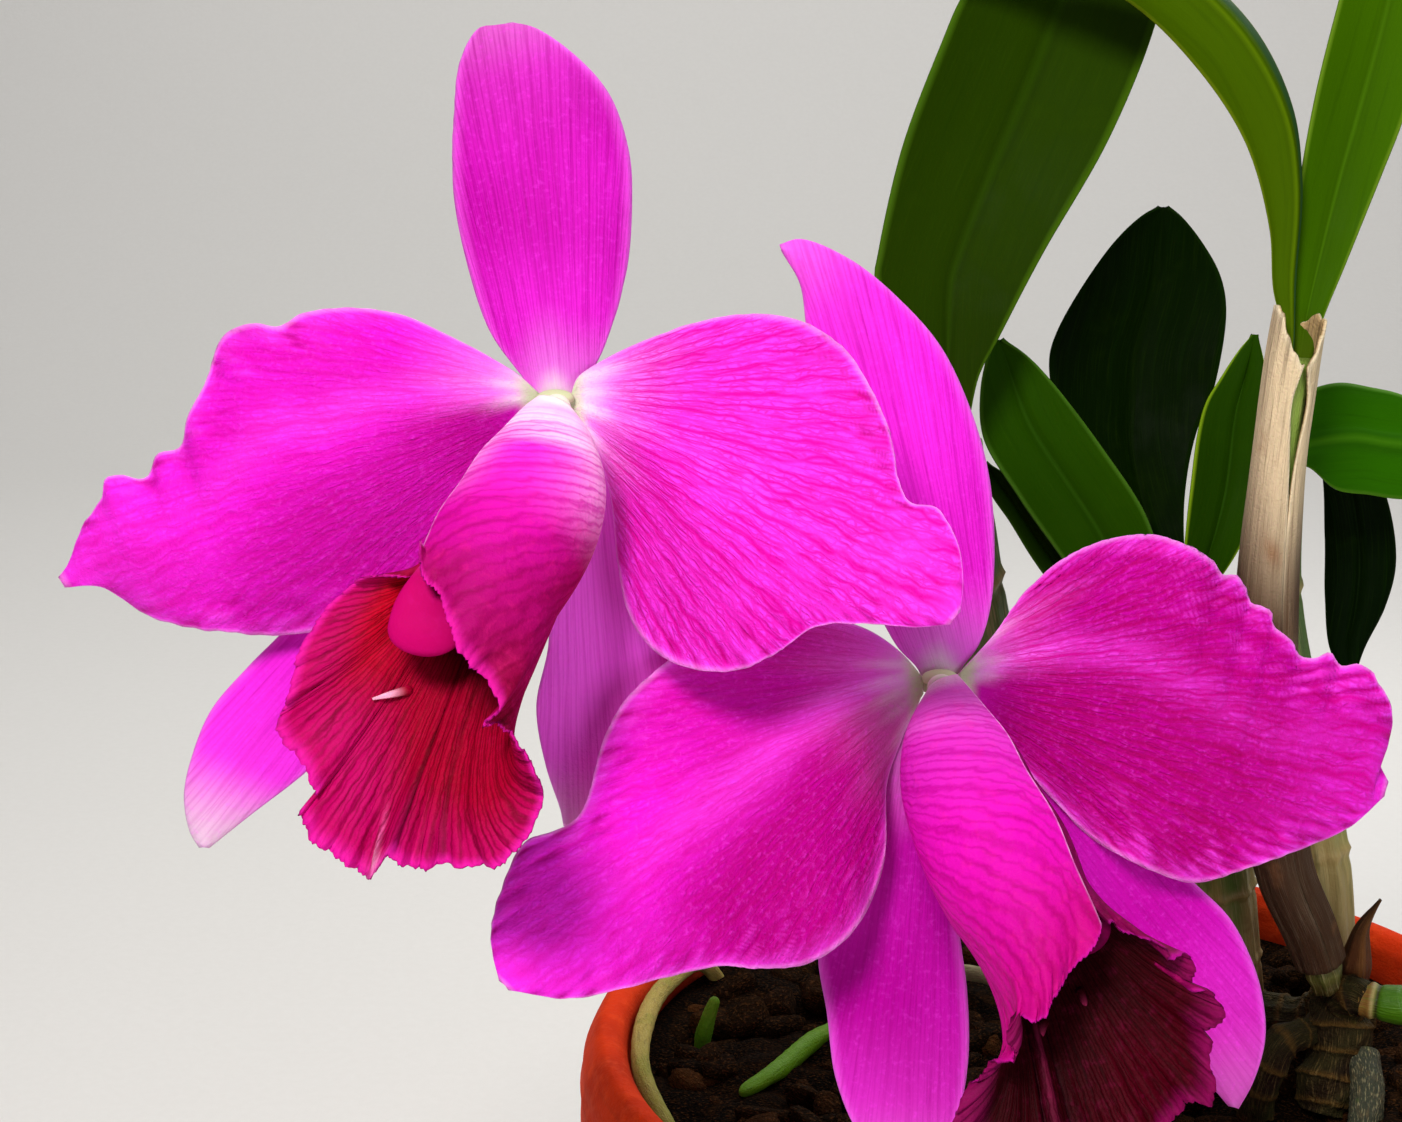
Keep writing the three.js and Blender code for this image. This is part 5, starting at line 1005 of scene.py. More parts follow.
# Leaves. Each has the place that its foot sits on, its relief, and its edges from the foot to the tip.
leaves = {
    "leaf_tall": {
        "seat": [-27.5, -18.6, 291.4], "rise": [4, 4, 0, -8, -22],
        "sides": [[0, 3, 4, 3, 1]] * 2,
        "edges": [[[-47, -3], [-56.5, 11.5], [-62, 24.5], [-61.5, 29], [-57, 49], [-49.5, 69], [-46, 77],
            [-38.5, 88.5], [-29, 97], [-21, 101]],
            [[-43.5, -3], [-41.5, 7.5], [-38, 14], [-29.5, 30], [-17.5, 50.5], [-9, 71], [-6, 84.5],
            [-9.5, 95], [-17.5, 101]]],
    },
    "leaf_arched": {
        "seat": [32.2, -31.2, 308.4], "rise": [18, 20, 24, 20, 8], "middle": 0.8,
        "sides": [[0, -2, -3, -3, -1], [0, -3, -5, -4, -1]],
        "edges": [[[18, 11], [17, 16.5], [15, 23], [14, 34], [9, 50], [-1.5, 65], [-14.5, 77], [-30.5, 84],
            [-42, 85.5], [-51.5, 83]],
            [[19, 11], [19, 24.5], [20, 43.5], [18, 57], [10, 72], [-4, 84.5], [-21, 92.5], [-40.5, 91],
            [-52, 85]]],
    },
    "leaf_upright": {
        "seat": [34, -29.2, 306.4], "rise": [14, 12, 6, 0, -8],
        "sides": [[0, 2, 3, 2, 1]] * 2,
        "edges": [[[18, 10.5], [18.4, 29], [20, 45], [22.6, 59.5], [27, 77], [31.5, 94], [37.5, 107.5],
            [43, 116]],
            [[22.5, 10.5], [24.5, 18], [29, 29], [35.5, 45], [39, 54], [44, 71], [47, 88.5], [47, 105.5],
            [44.5, 116.5]]],
    },
    "leaf_dark": {
        "seat": [20.2, 2.4, 253.2], "rise": [-26, -30, -33, -32, -30],
        "sides": [[0, 2, 3, 2, 1]] * 2,
        "edges": [[[-9.5, -38.5], [-18, -23], [-26.5, -6], [-29, 7], [-27.5, 13], [-17.5, 29], [-11.5, 35],
            [-8, 37]],
            [[-5.5, -38.5], [-4, -18.5], [-1, -6], [2, 0.5], [5, 16.5], [4, 23.5], [0.5, 30], [-3.5, 35],
            [-6, 37]]],
    },
    "leaf_leaning": {
        "seat": [8.7, -9.8, 247.9], "rise": [-15, -13, -12, -12, -12],
        "sides": [[0, 2, 3, 2, 1]] * 2,
        "edges": [[[-15, -46], [-26.5, -30], [-35, -18.5], [-41.5, -7.5], [-42, 1.5], [-40.5, 8.5],
            [-39, 11.5]],
            [[-11.5, -46], [-7.5, -33.5], [-10, -23], [-18.5, -9.5], [-29, 4], [-33.5, 8.5], [-38, 11.5]]],
    },
    "leaf_narrow": {
        "seat": [21.8, -0.4, 253], "rise": [-22, -21, -21, -20, -18],
        "sides": [[0, 1, 2, 1, 0]] * 2,
        "edges": [[[-1.5, -39.5], [-2, -27], [-1.5, -17], [1, -1.5], [4, 4], [7.5, 9.5], [10, 12.5]],
            [[2, -39.5], [7.5, -30.5], [12, -19], [13, -6], [12.5, 6], [11, 12.5]]],
    },
    "leaf_bright": {
        "seat": [38.6, -7.8, 284.2], "rise": [-11, -11, -15, -22, -30],
        "sides": [[0, -1, -2, -1, 0]] * 2,
        "edges": [[[15, -9.5], [15.5, -2.5], [20, 2], [26, 3.5], [32.5, 2.5], [39, 1], [47, -3.5],
            [54, -10]],
            [[18, -9.5], [21, -11.5], [26, -16.5], [32.5, -18], [39, -19], [46, -17.5], [53.5, -11.5]]],
    },
    "leaf_drooping": {
        "seat": [38.5, -4.2, 283.2], "rise": [-15, -24, -32, -36, -38],
        "sides": [[0, -1, -2, -1, 0]] * 2,
        "edges": [[[15, -9.5], [17, -4], [22.5, -10], [24, -26], [24, -38], [25, -48], [28.5, -54]],
            [[17.5, -9.5], [21, -2.5], [28, -5], [33.5, -13], [36.5, -22], [37.5, -32], [35.5, -40],
            [31.5, -48], [29.5, -54]]],
    },
    "leaf_slim": {
        "seat": [8.8, -6.6, 248.9], "rise": [-20, -23, -25, -25, -25],
        "sides": [[0, 1, 1, 1, 0]] * 2,
        "edges": [[[-14.5, -47], [-25, -39], [-31.5, -31], [-36.5, -23.5], [-40.5, -17.5], [-41.5, -12.5]],
            [[-12, -46.5], [-22, -34.5], [-30, -24.5], [-36, -15.5], [-41, -12]]],
    },
}
leafLook = {  # smooth edges, and shares of each tint over the face's own
    "rows": 96, "columns": 25, "thickness": 1.1, "rimThickness": 0.5, "swell": 0.25, "fold": 0.9,
    "scallop": 0, "scallopCount": 1, "pucker": 0, "puckerStep": 1, "crimp": 0, "crease": 0, "hubBack": 60,
    "dim": 0.72, "bright": 1.25, "besideVein": 0.6, "patchShare": 0.4, "brightShare": 0.4,
    "veinShare": 0.75, "besideShare": 0.35, "rimLightShare": 0.85, "footShare": 0.8,
}
leafColours = {  # upper face, under face, margin painted as rim light, middle vein, foot
    "leaf_tall": ["182c00", "1d3100", "41630d", "223a01", "293803"],
    "leaf_arched": ["294924", "3a5400", "7f9718", "506a04", "445606"],
    # leaf_dark sits far back in shade: its near-black greens are painted shade
    "leaf_upright": ["294d00", "335600", "607f1b", "3d6206", "44570a"],
    "leaf_dark": ["030e00", "051200", "102404", "081600", "101c03"],
    "leaf_leaning": ["183700", "1d3c00", "3d6318", "224305", "2c440a"],
    "leaf_narrow": ["143000", "1b3800", "7fa118", "224305", "2c440a"],
    "leaf_bright": ["1b4f00", "245701", "4f7f1b", "3c6e0d", "38560d"],
    "leaf_drooping": ["020a00", "040e01", "102006", "081602", "101c05"],
    "leaf_slim": ["112500", "162c01", "29440d", "1b3506", "24370a"],
}
# depth of the groove along the middle, where it isn't the usual one
leafFold = {"leaf_arched": -0.4, "leaf_bright": -1.4, "leaf_tall": 0.8, "leaf_upright": 0.2}


def leafPiece(name, leaf, look):
    grid, t, across, _, _, far = bladeSurface(foliage, leaf, look, 5)
    share = np.abs(across)
    seed = sum(map(ord, name))
    normal = gridNormals(grid)
    toward = np.sign((normal * (frontPoint - grid)).sum())
    groove = leafFold.get(name, look["fold"]) * bell(0, 0.16, across)
    groove = groove * ease(0, 0.15, t) * (1 - ease(0.8, 1, t))
    swell = look["swell"] * softNoise(3 * across, 9 * t, seed) * ease(0.1, 0.4, t)
    grid = grid + normal * (toward * (swell - groove))[..., None]
    shift = np.array(leaf["seat"]) - grid[0, look["columns"] // 2]  # the foot is eased onto its seat
    grid = grid + shift * ((1 - t) ** 4)[..., None]
    upper, under, margin, vein, foot = [paint(code) for code in leafColours[name]]
    patch = 0.5 + 0.5 * softNoise(2 * across, 6 * t, seed + 3)
    faces = []
    for base in (upper, under):
        colour = mixed(base, base * look["dim"], look["patchShare"] * patch)
        colour = mixed(colour, base * look["bright"], look["brightShare"] * ease(0.2, 0.8, t + 0.2 * across))
        colour = mixed(colour, vein, look["veinShare"] * bell(0, 0.05, across))
        beside = bell(0.09, 0.03, across) + bell(-0.09, 0.03, across)
        colour = mixed(colour, base * look["besideVein"], look["besideShare"] * beside)
        # painted rim light along the leaf's edge
        colour = mixed(colour, margin, look["rimLightShare"] * ease(0.93, 1, share + 0 * t))
        colour = mixed(colour, foot, look["footShare"] * ease(0.1, 0, t + 0 * share))
        faces.append(colour)
    if name == "leaf_arched":  # its bluish upper face shows past the fold near one edge
        faces[1] = mixed(faces[1], upper, ease(0.25, 0.5, across + 0 * t) * (1 - ease(0.9, 0.97, share)))
    wide = np.linalg.norm(grid[:, -1] - grid[:, 0], axis=-1)[:, None]
    place = np.stack([across * np.maximum(wide, 6) / 2, far, 0 * far], -1)
    thick = look["thickness"] + (look["rimThickness"] - look["thickness"]) * ease(0.75, 1, share + 0 * t)
    front, rear = (faces[1], faces[0]) if toward > 0 else (faces[0], faces[1])
    part = bladePart(grid, thick, {"tint": front, "veinPlace": place}, {"tint": rear, "veinPlace": place})
    build(name, [part], skins["leafSkin"])


for name, leaf in leaves.items():
    leafPiece(name, leaf, leafLook)
print("leaves made")

# Pseudobulbs: furrowed club-shaped stems with joints, and the remains of old sheaths at their feet.
bulbs = [
    {"name": "flowering_pseudobulb", "radii": [4.6, 6.4, 7.6, 8, 7.4, 6, 4.4, 3.6],
        "path": [[-27.5, -19.4, 290.6], [-26, -17, 274], [-23, -13, 250], [-14, -7, 219], [-2, -3, 191],
            [8, 1, 158]]},
    {"name": "pseudobulb_b", "radii": [4.2, 5.4, 6.2, 6.2, 5.4, 4.2],
        "path": [[21, 1, 252], [25, 5, 232], [32, 10, 204], [36, 13, 184], [41, 14, 160]]},
    {"name": "pseudobulb_c", "radii": [4.6, 5.6, 6.2, 5.6, 4.4],
        "path": [[9, -9, 247], [13, 1, 220], [18, 9, 193], [24, 14, 160]]},
    {"name": "pseudobulb_d", "radii": [3.8, 4.4, 4.8, 5, 4.8, 4.2],
        "path": [[38.5, -6, 282], [40, -1, 255], [47, 2, 224], [54, 5, 196], [58, 4, 163]]},
]
bulbLook = {
    "sides": 40, "steps": 130, "furrows": 7, "furrowDepth": 0.07, "joints": [0.2, 0.46, 0.7, 0.88],
    "jointSwell": 0.1, "green": "5d7c30", "shade": "48662a", "husk": "b59a62", "foot": "6b4c28",
}


def bulbShape(look, seed):
    def shape(t, turn, radius):
        worn = ease(0.05, 0.7, t)
        furrow = np.cos(look["furrows"] * turn + 1.5 * np.sin(3 * t + seed) + seed)
        fine = softNoise(9 * np.cos(turn), 9 * np.sin(turn) + 3 * t, seed)
        joint = sum(bell(place, 0.008, t) - 0.5 * bell(place + 0.016, 0.01, t) for place in look["joints"])
        change = look["furrowDepth"] * (0.35 + worn) * furrow + 0.015 * fine + look["jointSwell"] * joint
        return radius * (1 + change)
    return shape


def bulbColours(t, turn, look, seed):
    patch = 0.5 + 0.5 * softNoise(3 * np.cos(turn) + seed, 3 * np.sin(turn) + 7 * t, seed)
    colour = tinted(paint(look["green"]), look["shade"], patch)
    husk = ease(0.45, 0.75, t + 0.12 * roundNoise(turn, 4, 0, seed + 1))
    colour = tinted(colour, look["husk"], 0.8 * husk)
    colour = tinted(colour, look["foot"], ease(0.8, 1, t + 0 * turn))
    for place in look["joints"]:
        colour = tinted(colour, look["husk"], 0.6 * bell(place, 0.012, t) + 0 * turn)
    return colour


def bulbPiece(name, line, radii, look, seed):
    ring, t, turn = stemRings(line, radii, look["sides"], look["steps"], bulbShape(look, seed))
    place = roundPlace(5, turn, lineLength(line) * t)
    part = stemPart(ring, {"tint": bulbColours(t, turn, look, seed), "veinPlace": place})
    build(name, [part], skins["bulbSkin"])


for number, bulb in enumerate(bulbs):
    bulbPiece(bulb["name"], smoothLine(bulb["path"]), bulb["radii"], bulbLook, number + 2)

# The sheathed pseudobulb and the papery sheath round it, open in a slit at the front.
sheathLook = {
    "path": [[33.6, -32.8, 321], [33, -30, 310], [32.2, -27, 291], [32, -26, 282], [32, -24, 266],
        [33, -22, 244],
        [35.5, -19.5, 223], [40, -18, 203], [46, -17, 190], [51, -15, 177]],
    "radii": [4.9, 5.1, 5.1, 5.7, 6.3, 6.5, 6.3, 6, 5.6, 5], "thickness": 0.6, "roomInside": 1.6,
    "top": 0.088, "bottom": 0.955, "collar": [0, 5, 8, 6, 4, 4, 5, 8, 11, 5, 0], "slitTurn": 17,
    "slitHalfAngles": [6, 19, 13, 5, 1, *[0.5] * 13], "rows": 130, "columns": 64, "tatter": 1.1,
    "wrinkle": 0.22, "fresh": "e2cca4", "old": "4a3220", "stain": "8a5f3c", "edge": "efe0bd",
    "inside": "c0a070", "torn": 1.6,
}


def sheathPart(look):
    line = smoothLine(look["path"])
    length = lineLength(line)
    i = np.linspace(0, 1, look["rows"])[:, None]
    turn = np.linspace(0, 1, look["columns"])[None, :]
    tatter = softNoise(30 * turn, 0 * turn, 12) + 0.6 * softNoise(110 * turn, 0 * turn, 13)
    collar = (valueAlong(look["collar"], turn) + look["tatter"] * tatter) / length
    top = look["top"] * 0.95 - collar
    t = top + (look["bottom"] - top) * i
    share = t.clip(0, 1)
    point = pointsAt(line, share)
    axis = pointsAt(line, (share + 0.01).clip(0, 1)) - pointsAt(line, (share - 0.01).clip(0, 1))
    axis = unit(axis)
    side = unit(right3 - axis * axis[..., :1])
    out = np.cross(side, axis)
    torn = softNoise(34 * i, 0 * i, 5) * look["torn"] * (1 - ease(0.1, 0.2, i))
    half = np.radians(valueAlong(look["slitHalfAngles"], i) + torn)
    angle = math.radians(look["slitTurn"]) + half + (2 * math.pi - 2 * half) * turn
    radius = valueAlong(look["radii"], share) - look["thickness"] / 2
    fold = softNoise(6 * angle + 3 * i, 5 * i, 6) + 0.6 * softNoise(17 * angle, 9 * i, 7)
    radius = radius + look["wrinkle"] * fold * (0.4 + 0.6 * ease(0.1, 0.5, i))
    grid = point - out * (radius * np.cos(angle))[..., None] + side * (radius * np.sin(angle))[..., None]
    patch = 0.5 + 0.5 * softNoise(3 * angle, 12 * i, 8)
    # darker brown towards the foot: partly the sheath's ageing, partly painted shade
    outer = tinted(paint(look["fresh"]), look["old"], (0.95 * ease(0.14, 0.44, i) + 0.2 * patch).clip(0, 1))
    outer = tinted(outer, look["stain"], 0.7 * bell(0.30, 0.018, i) * bell(0.93, 0.05, turn))
    slit = np.maximum(ease(0.012, 0, turn), ease(0.988, 1, turn)) + 0 * i
    edge = np.maximum(ease(0.015, 0, i + 0 * turn), slit)
    outer = tinted(outer, look["edge"], 0.7 * edge * (1 - 0.95 * ease(0.18, 0.42, i)))
    place = roundPlace(6, angle, length * t)
    front = {"tint": outer, "veinPlace": place}
    rear = {"tint": paint(look["inside"]) + 0 * outer, "veinPlace": place}
    outward = (gridNormals(grid) * (grid - point)).sum()
    if outward < 0:
        front, rear = rear, front
    return bladePart(grid, look["thickness"] + 0 * radius, front, rear)


build("papery_sheath", [sheathPart(sheathLook)], skins["paperSkin"])
sheathLine = pointsAt(smoothLine(sheathLook["path"]), np.linspace(sheathLook["top"], 1, 120))
innerRadii = valueAlong(sheathLook["radii"], np.linspace(sheathLook["top"], 1, 10))
innerRadii = innerRadii - sheathLook["roomInside"]
bulbPiece("sheathed_pseudobulb", sheathLine, innerRadii, {
    **bulbLook, "green": "86a03e", "shade": "6f8c34", "husk": "6c7030", "foot": "40350f",
    "joints": [0.44, 0.97], "furrowDepth": 0.05}, 9)
print("stems and sheath made")

# Roots.
roots = [
    {"name": "wall_root", "radii": [1.7, 1.9, 2, 1.9, 1.8],
        "path": [[-70, 50, 146], [-76, 45.5, 156], [-84.5, 28, 158], [-88.4, 8, 158.5], [-88.6, -12, 157],
            [-83.6, -27, 152.5], [-76, -35, 144]]},
    {"name": "green_root_tip", "radii": [1.7, 1.8, 1.7, 1.1],
        "path": [[-76.4, 11, 144], [-76, 9.6, 154], [-74.6, 9, 160], [-73.2, 9, 164]]},
    {"name": "green_root", "radii": [1.5, 2.1, 2.1, 2, 1.9, 1.8],
        "path": [[-68.4, -16, 153.6], [-61.5, -7, 153.8], [-49.5, 13, 153.4], [-36, 25, 152.5],
            [-24, 30, 146]]},
    {"name": "white_root", "radii": [1.8, 1.8, 1.8, 1.8],
        "path": [[-34, 44, 146], [-26, 40, 155], [-15, 33, 159], [0, 20, 157], [11, 7, 155]]},
    {"name": "old_root", "radii": [3.2, 3.4, 3.4, 3.2],
        "path": [[59, -15, 163], [58.5, -22, 158], [57, -27, 151], [56, -30, 143]]},
]
rootColours = {  # body, other end, skin
    "wall_root": ["b8a052", "848a34", "rootSkin"],
    "green_root_tip": ["3c6a08", "5a8014", "greenRootSkin"],
    "green_root": ["5c8a08", "4a7604", "greenRootSkin"],
    "white_root": ["968c66", "7c7450", "rootSkin"],
    "old_root": ["34382a", "2a2a1e", "rootSkin"],
}
rootLook = {"sides": 22, "steps": 90, "lumps": 0.07, "rings": 0.02, "endShare": 0.06}


def rootPiece(root, look, seed):
    def lumpy(t, turn, radius):
        lumps = roundNoise(turn, 3, 16 * t, seed)
        ends = 1 - (np.minimum(t, 1 - t) / look["endShare"]).clip(0.02, 1)
        rings = look["rings"] * np.sin(120 * t + 2 * np.sin(turn))
        return radius * np.sqrt(1 - ends ** 2) * (1 + look["lumps"] * lumps + rings)
    line = smoothLine(root["path"])
    ring, t, turn = stemRings(line, root["radii"], look["sides"], look["steps"], lumpy)
    body, far, skin = rootColours[root["name"]]
    patch = 0.5 + 0.5 * roundNoise(turn, 2, 11 * t, seed + 1)
    colour = tinted(paint(body), far, (0.7 * ease(0.4, 1, t) + 0.3 * patch).clip(0, 1))
    part = stemPart(ring, {"tint": colour, "veinPlace": roundPlace(2, turn, lineLength(line) * t)})
    build(root["name"], [part], skins[skin])


for number, root in enumerate(roots):
    rootPiece(root, rootLook, number + 21)

# Rhizome: a knobby creeping stem with the rims of old bracts, and the stubs that rise from it.
rhizomeLook = {
    "sides": 36, "ringStep": 5.5, "lip": 0.13, "furrows": 11, "furrowDepth": 0.045, "lumps": 0.05,
    "olive": "2e2a10", "brown": "201406", "tan": "5a4018", "within": 0.4,
}
rhizomeStems = [  # path, radii, steps
    [[[-2, -6, 153], [8, 2, 155], [24, 15, 156], [42, 14, 156], [57, 6, 160], [57, -6, 168], [53, -14, 172]],
        [3.5, 6.6, 5.2, 7, 5.4, 7.2, 5.4, 7.2, 5.6, 7.4, 6.2, 7.4, 5.6], 200],
    [[[55, -10, 172], [54, -13, 162], [51, -17, 150]], [5, 7.4, 6, 7.2, 5], 70],
    [[[53, -14, 173], [56, -17, 176], [58, -18.8, 175.6]], [3.5, 4.4, 3.8], 30],
    [[[50, -12, 166], [41, -19, 166], [37, -21, 158], [36, -21, 146]], [3, 3.6, 4.2, 4, 4], 80],
]


def knobbyPart(path, radii, steps, look, seed):
    line = smoothLine(path)
    length = lineLength(line)

    def bractShare(t, turn):  # each bract's rim laps the next
        return (t * length / look["ringStep"] + 0.12 * np.sin(turn + seed)) % 1

    def knobby(t, turn, radius):
        step = bractShare(t, turn)
        rim = look["lip"] * (step ** 3 - 0.5 * ease(0.0, 0.12, step) + 0.2)
        furrow = look["furrowDepth"] * np.cos(look["furrows"] * turn + 2 * np.sin(4 * t) + seed)
        lumps = look["lumps"] * roundNoise(turn, 4, 14 * t, seed)
        ends = ease(0, 0.03, t) * ease(1, 0.97, t)
        return radius * (1 + (rim + furrow + lumps) * ends) - look["within"]
    ring, t, turn = stemRings(line, radii, look["sides"], steps, knobby)
    patch = 0.5 + 0.5 * roundNoise(turn, 3, 9 * t, seed + 2)
    colour = tinted(paint(look["olive"]), look["brown"], patch)
    colour = tinted(colour, look["tan"], 0.7 * ease(0.7, 0.95, bractShare(t, turn)))
    return stemPart(ring, {"tint": colour, "veinPlace": roundPlace(6, turn, length * t)})


knobs = [knobbyPart(*stem, rhizomeLook, number + 31) for number, stem in enumerate(rhizomeStems)]
build("rhizome", knobs, skins["rhizomeSkin"])

# Young shoot: a fresh green point out of a tan knob with a dark ring. Beside it a dry bud scale.
shootLook = {
    "path": [[57, -18, 175.6], [66, -22, 176], [74, -24, 180], [80, -24, 189]],
    "radii": [3.4, 3.9, 3.8, 3, 0.6], "sides": 40, "steps": 110, "knobEnd": 0.07, "knob": "7a5828",
    "ring": "2a1c0a", "pale": "a49860", "green": "3a6408", "tip": "5c881a", "scaleEdge": "345c08",
    "laps": 3.2, "wrap": 0.07, "bead": 0.08,
}


def shootPart(look):
    line = smoothLine(look["path"])
    knobEnd = look["knobEnd"]

    def lapShare(t, turn):  # young leaves wrap one over the other
        return (look["laps"] * t + 0.16 * np.cos(turn)) % 1

    def pointed(t, turn, radius):
        wrap = look["wrap"] * (lapShare(t, turn) ** 2 - 0.4) * ease(knobEnd, knobEnd + 0.1, t)
        bead = look["bead"] * bell(knobEnd, 0.02, t) - look["bead"] * bell(knobEnd + 0.05, 0.02, t)
        return radius * (1 + wrap + bead)
    ring, t, turn = stemRings(line, look["radii"], look["sides"], look["steps"], pointed)
    colour = tinted(paint(look["green"]), look["tip"], ease(0.7, 1, t + 0 * turn))
    colour = tinted(colour, look["scaleEdge"], 0.6 * ease(0.8, 1, lapShare(t, turn)) * ease(0.4, 0.5, t))
    colour = tinted(colour, look["knob"], ease(knobEnd + 0.06, knobEnd, t + 0 * turn))
    colour = tinted(colour, look["pale"], 0.8 * bell(knobEnd + 0.02, 0.012, t) + 0 * turn)
    colour = tinted(colour, look["ring"], 0.9 * bell(knobEnd + 0.05, 0.012, t) + 0 * turn)
    return stemPart(ring, {"tint": colour, "veinPlace": roundPlace(4, turn, lineLength(line) * t)})


build("young_shoot", [shootPart(shootLook)], skins["freshSkin"])
scaleLook = {
    "path": [[58, -7.5, 174.5], [57, -12, 183], [57, -15, 190], [59.5, -18, 197]],
    "radii": [3, 3.4, 2.6, 1.4, 0.4], "sides": 32, "steps": 80, "body": "5e3214", "tip": "5a3c18",
    "edge": "8c5c2c", "hollow": 0.3, "ribs": 0.05,
}


def scalePart(look):
    line = smoothLine(look["path"])

    def curled(t, turn, radius):
        hollow = look["hollow"] * bell(0, 0.7, np.sin(turn / 2)) * ease(0.1, 0.6, t)
        return radius * (1 - hollow + look["ribs"] * np.cos(6 * turn))
    ring, t, turn = stemRings(line, look["radii"], look["sides"], look["steps"], curled)
    colour = tinted(paint(look["body"]), look["tip"], ease(0.3, 1, t + 0 * turn))
    colour = tinted(colour, look["edge"], 0.5 * ease(0.3, 1, np.cos(3 * turn) + 0 * t))
    return stemPart(ring, {"tint": colour, "veinPlace": roundPlace(3, turn, lineLength(line) * t)})


build("bud_scale", [scalePart(scaleLook)], skins["scaleSkin"])

# Flower stalk: it forks into two pedicels, each swelling into a ribbed seat for its bloom.
stalkLook = {
    "fork": [-32, -35, 290.5], "foot": [[-28.6, -25, 287.5], [-30.4, -30, 289.2]],
    "footRadii": [2.4, 2.4, 2.6], "pedicelRadii": [2.2, 2, 2, 2.2, 2.8, 3.3], "sides": 30,
    "cupDepths": [-9, -3], "green": "8aa653", "blush": "b0749a", "dark": "6f8c42",
    "footSteps": 40, "joint": 0.16, "ribs": 0.07, "lumps": 0.02,
}
pedicels = [
    [leftBloom, [[-49, -38, 295], [-77, -49, 301], [-94, -68, 306]], 140],
    [rightBloom, [[-32, -46, 277], [-34, -62, 264]], 90],
]


def stalkPart(path, radii, steps, look, seed):
    line = smoothLine(path)

    def ribbed(t, turn, radius):
        joint = look["joint"] * bell(0.06, 0.012, t)
        ribs = look["ribs"] * np.cos(6 * turn) * ease(0.6, 0.9, t)
        return radius * (1 + joint + ribs + look["lumps"] * softNoise(9 * t, turn * 0, seed))
    ring, t, turn = stemRings(line, radii, look["sides"], steps, ribbed)
    patch = 0.5 + 0.5 * roundNoise(turn, 1, 8 * t, seed)
    colour = tinted(paint(look["green"]), look["dark"], patch)
    colour = tinted(colour, look["blush"], 0.5 * ease(0.7, 1, t + 0 * turn))
    return stemPart(ring, {"tint": colour, "veinPlace": roundPlace(2.5, turn, lineLength(line) * t)})


foot = [*stalkLook["foot"], stalkLook["fork"]]
stalks = [stalkPart(foot, stalkLook["footRadii"], stalkLook["footSteps"], stalkLook, 51)]
for bloom, path, steps in pedicels:
    cup = [placeAt(bloom, 0.0, 0.0, depth).tolist() for depth in stalkLook["cupDepths"]]
    path = [stalkLook["fork"], *path, *cup]
    stalks.append(stalkPart(path, stalkLook["pedicelRadii"], steps, stalkLook, 52))
build("flower_stalk", stalks, skins["freshSkin"])
print("roots, rhizome, shoot and stalk made")


# Pot: a thrown clay body with a heavy band, turning marks and three drain holes.
potLook = {
    "height": 162, "footRadius": 64, "lipOuterRadius": 102, "lipInnerRadius": 92, "bandHeight": 40,
    "wall": 9, "floor": 12, "footEase": 3, "bandStep": 8, "lipRound": 9, "sides": 144, "drainRadius": 5,
    "drainCircle": 30, "drains": 3, "mark": 0.18, "wobble": 0.35, "clay": "e43c0c", "deepClay": "bc2a06",
    "lightClay": "ec4c18", "turned": "8a2a12", "lime": "e8c9b2", "innerClay": "5e1c10", "soil": "2a130c",
    "limeHeights": (0.11, 0.02), "soilHeights": (0.148, 0.158), "blotchScale": 22, "fineScale": 260,
    "gritScale": 1500, "turnScale": 420, "bumpDepth": 0.0006, "drainSides": 48, "markTurn": 1.1,
}


def potProfile(look):
    height, turnIn = look["height"], look["lipRound"]
    outer, inner = look["lipOuterRadius"], look["lipInnerRadius"]
    band = height - look["bandHeight"]
    under = outer - look["bandStep"]
    return np.array([
        [0, 0], [look["footRadius"] - look["footEase"], 0], [look["footRadius"], look["footEase"]],
        [under, band - look["bandStep"] / 4], [outer - turnIn / 3, band], [outer, band + turnIn / 2],
        [outer, height - turnIn], [outer - turnIn / 5, height - turnIn / 3], [outer - turnIn / 2, height],
        [inner + turnIn / 4, height - turnIn / 12], [inner, height - turnIn / 2],
        [under - look["wall"], band], [look["footRadius"] - look["wall"], look["floor"]],
        [0, look["floor"]]])


def roundedProfile(corners, step=2.2, rounding=2.4):  # corners eased, even steps between, in millimetres
    out = [corners[0]]

    def walkTo(end):
        start = out[-1]
        count = max(int(np.linalg.norm(end - start) / step), 1)
        out.extend(start + (end - start) * f for f in np.linspace(0, 1, count + 1)[1:])
    for before, corner, after in zip(corners[:-2], corners[1:-1], corners[2:]):
        a, b = before - corner, after - corner
        reach = min(rounding, 0.45 * np.linalg.norm(a), 0.45 * np.linalg.norm(b))
        start, end = corner + a / np.linalg.norm(a) * reach, corner + b / np.linalg.norm(b) * reach
        walkTo(start)
        out += [(1 - f) ** 2 * start + 2 * f * (1 - f) * corner + f * f * end for f in (0.25, 0.5, 0.75, 1)]
    walkTo(corners[-1])
    return np.array(out)


def turnedPart(profile, sides, relief):  # a body turned about the upright axis from its middle out and back
    turn = turnsOf(sides)
    r, z = profile[1:-1, :1], profile[1:-1, 1:]
    push = relief(r, z, turn)
    ring = np.stack([(r + push) * np.cos(turn), (r + push) * np.sin(turn), z + 0 * turn], -1)
    return stemPart(ring, {"tint": np.ones(3), "veinPlace": roundPlace(r, turn, z)})


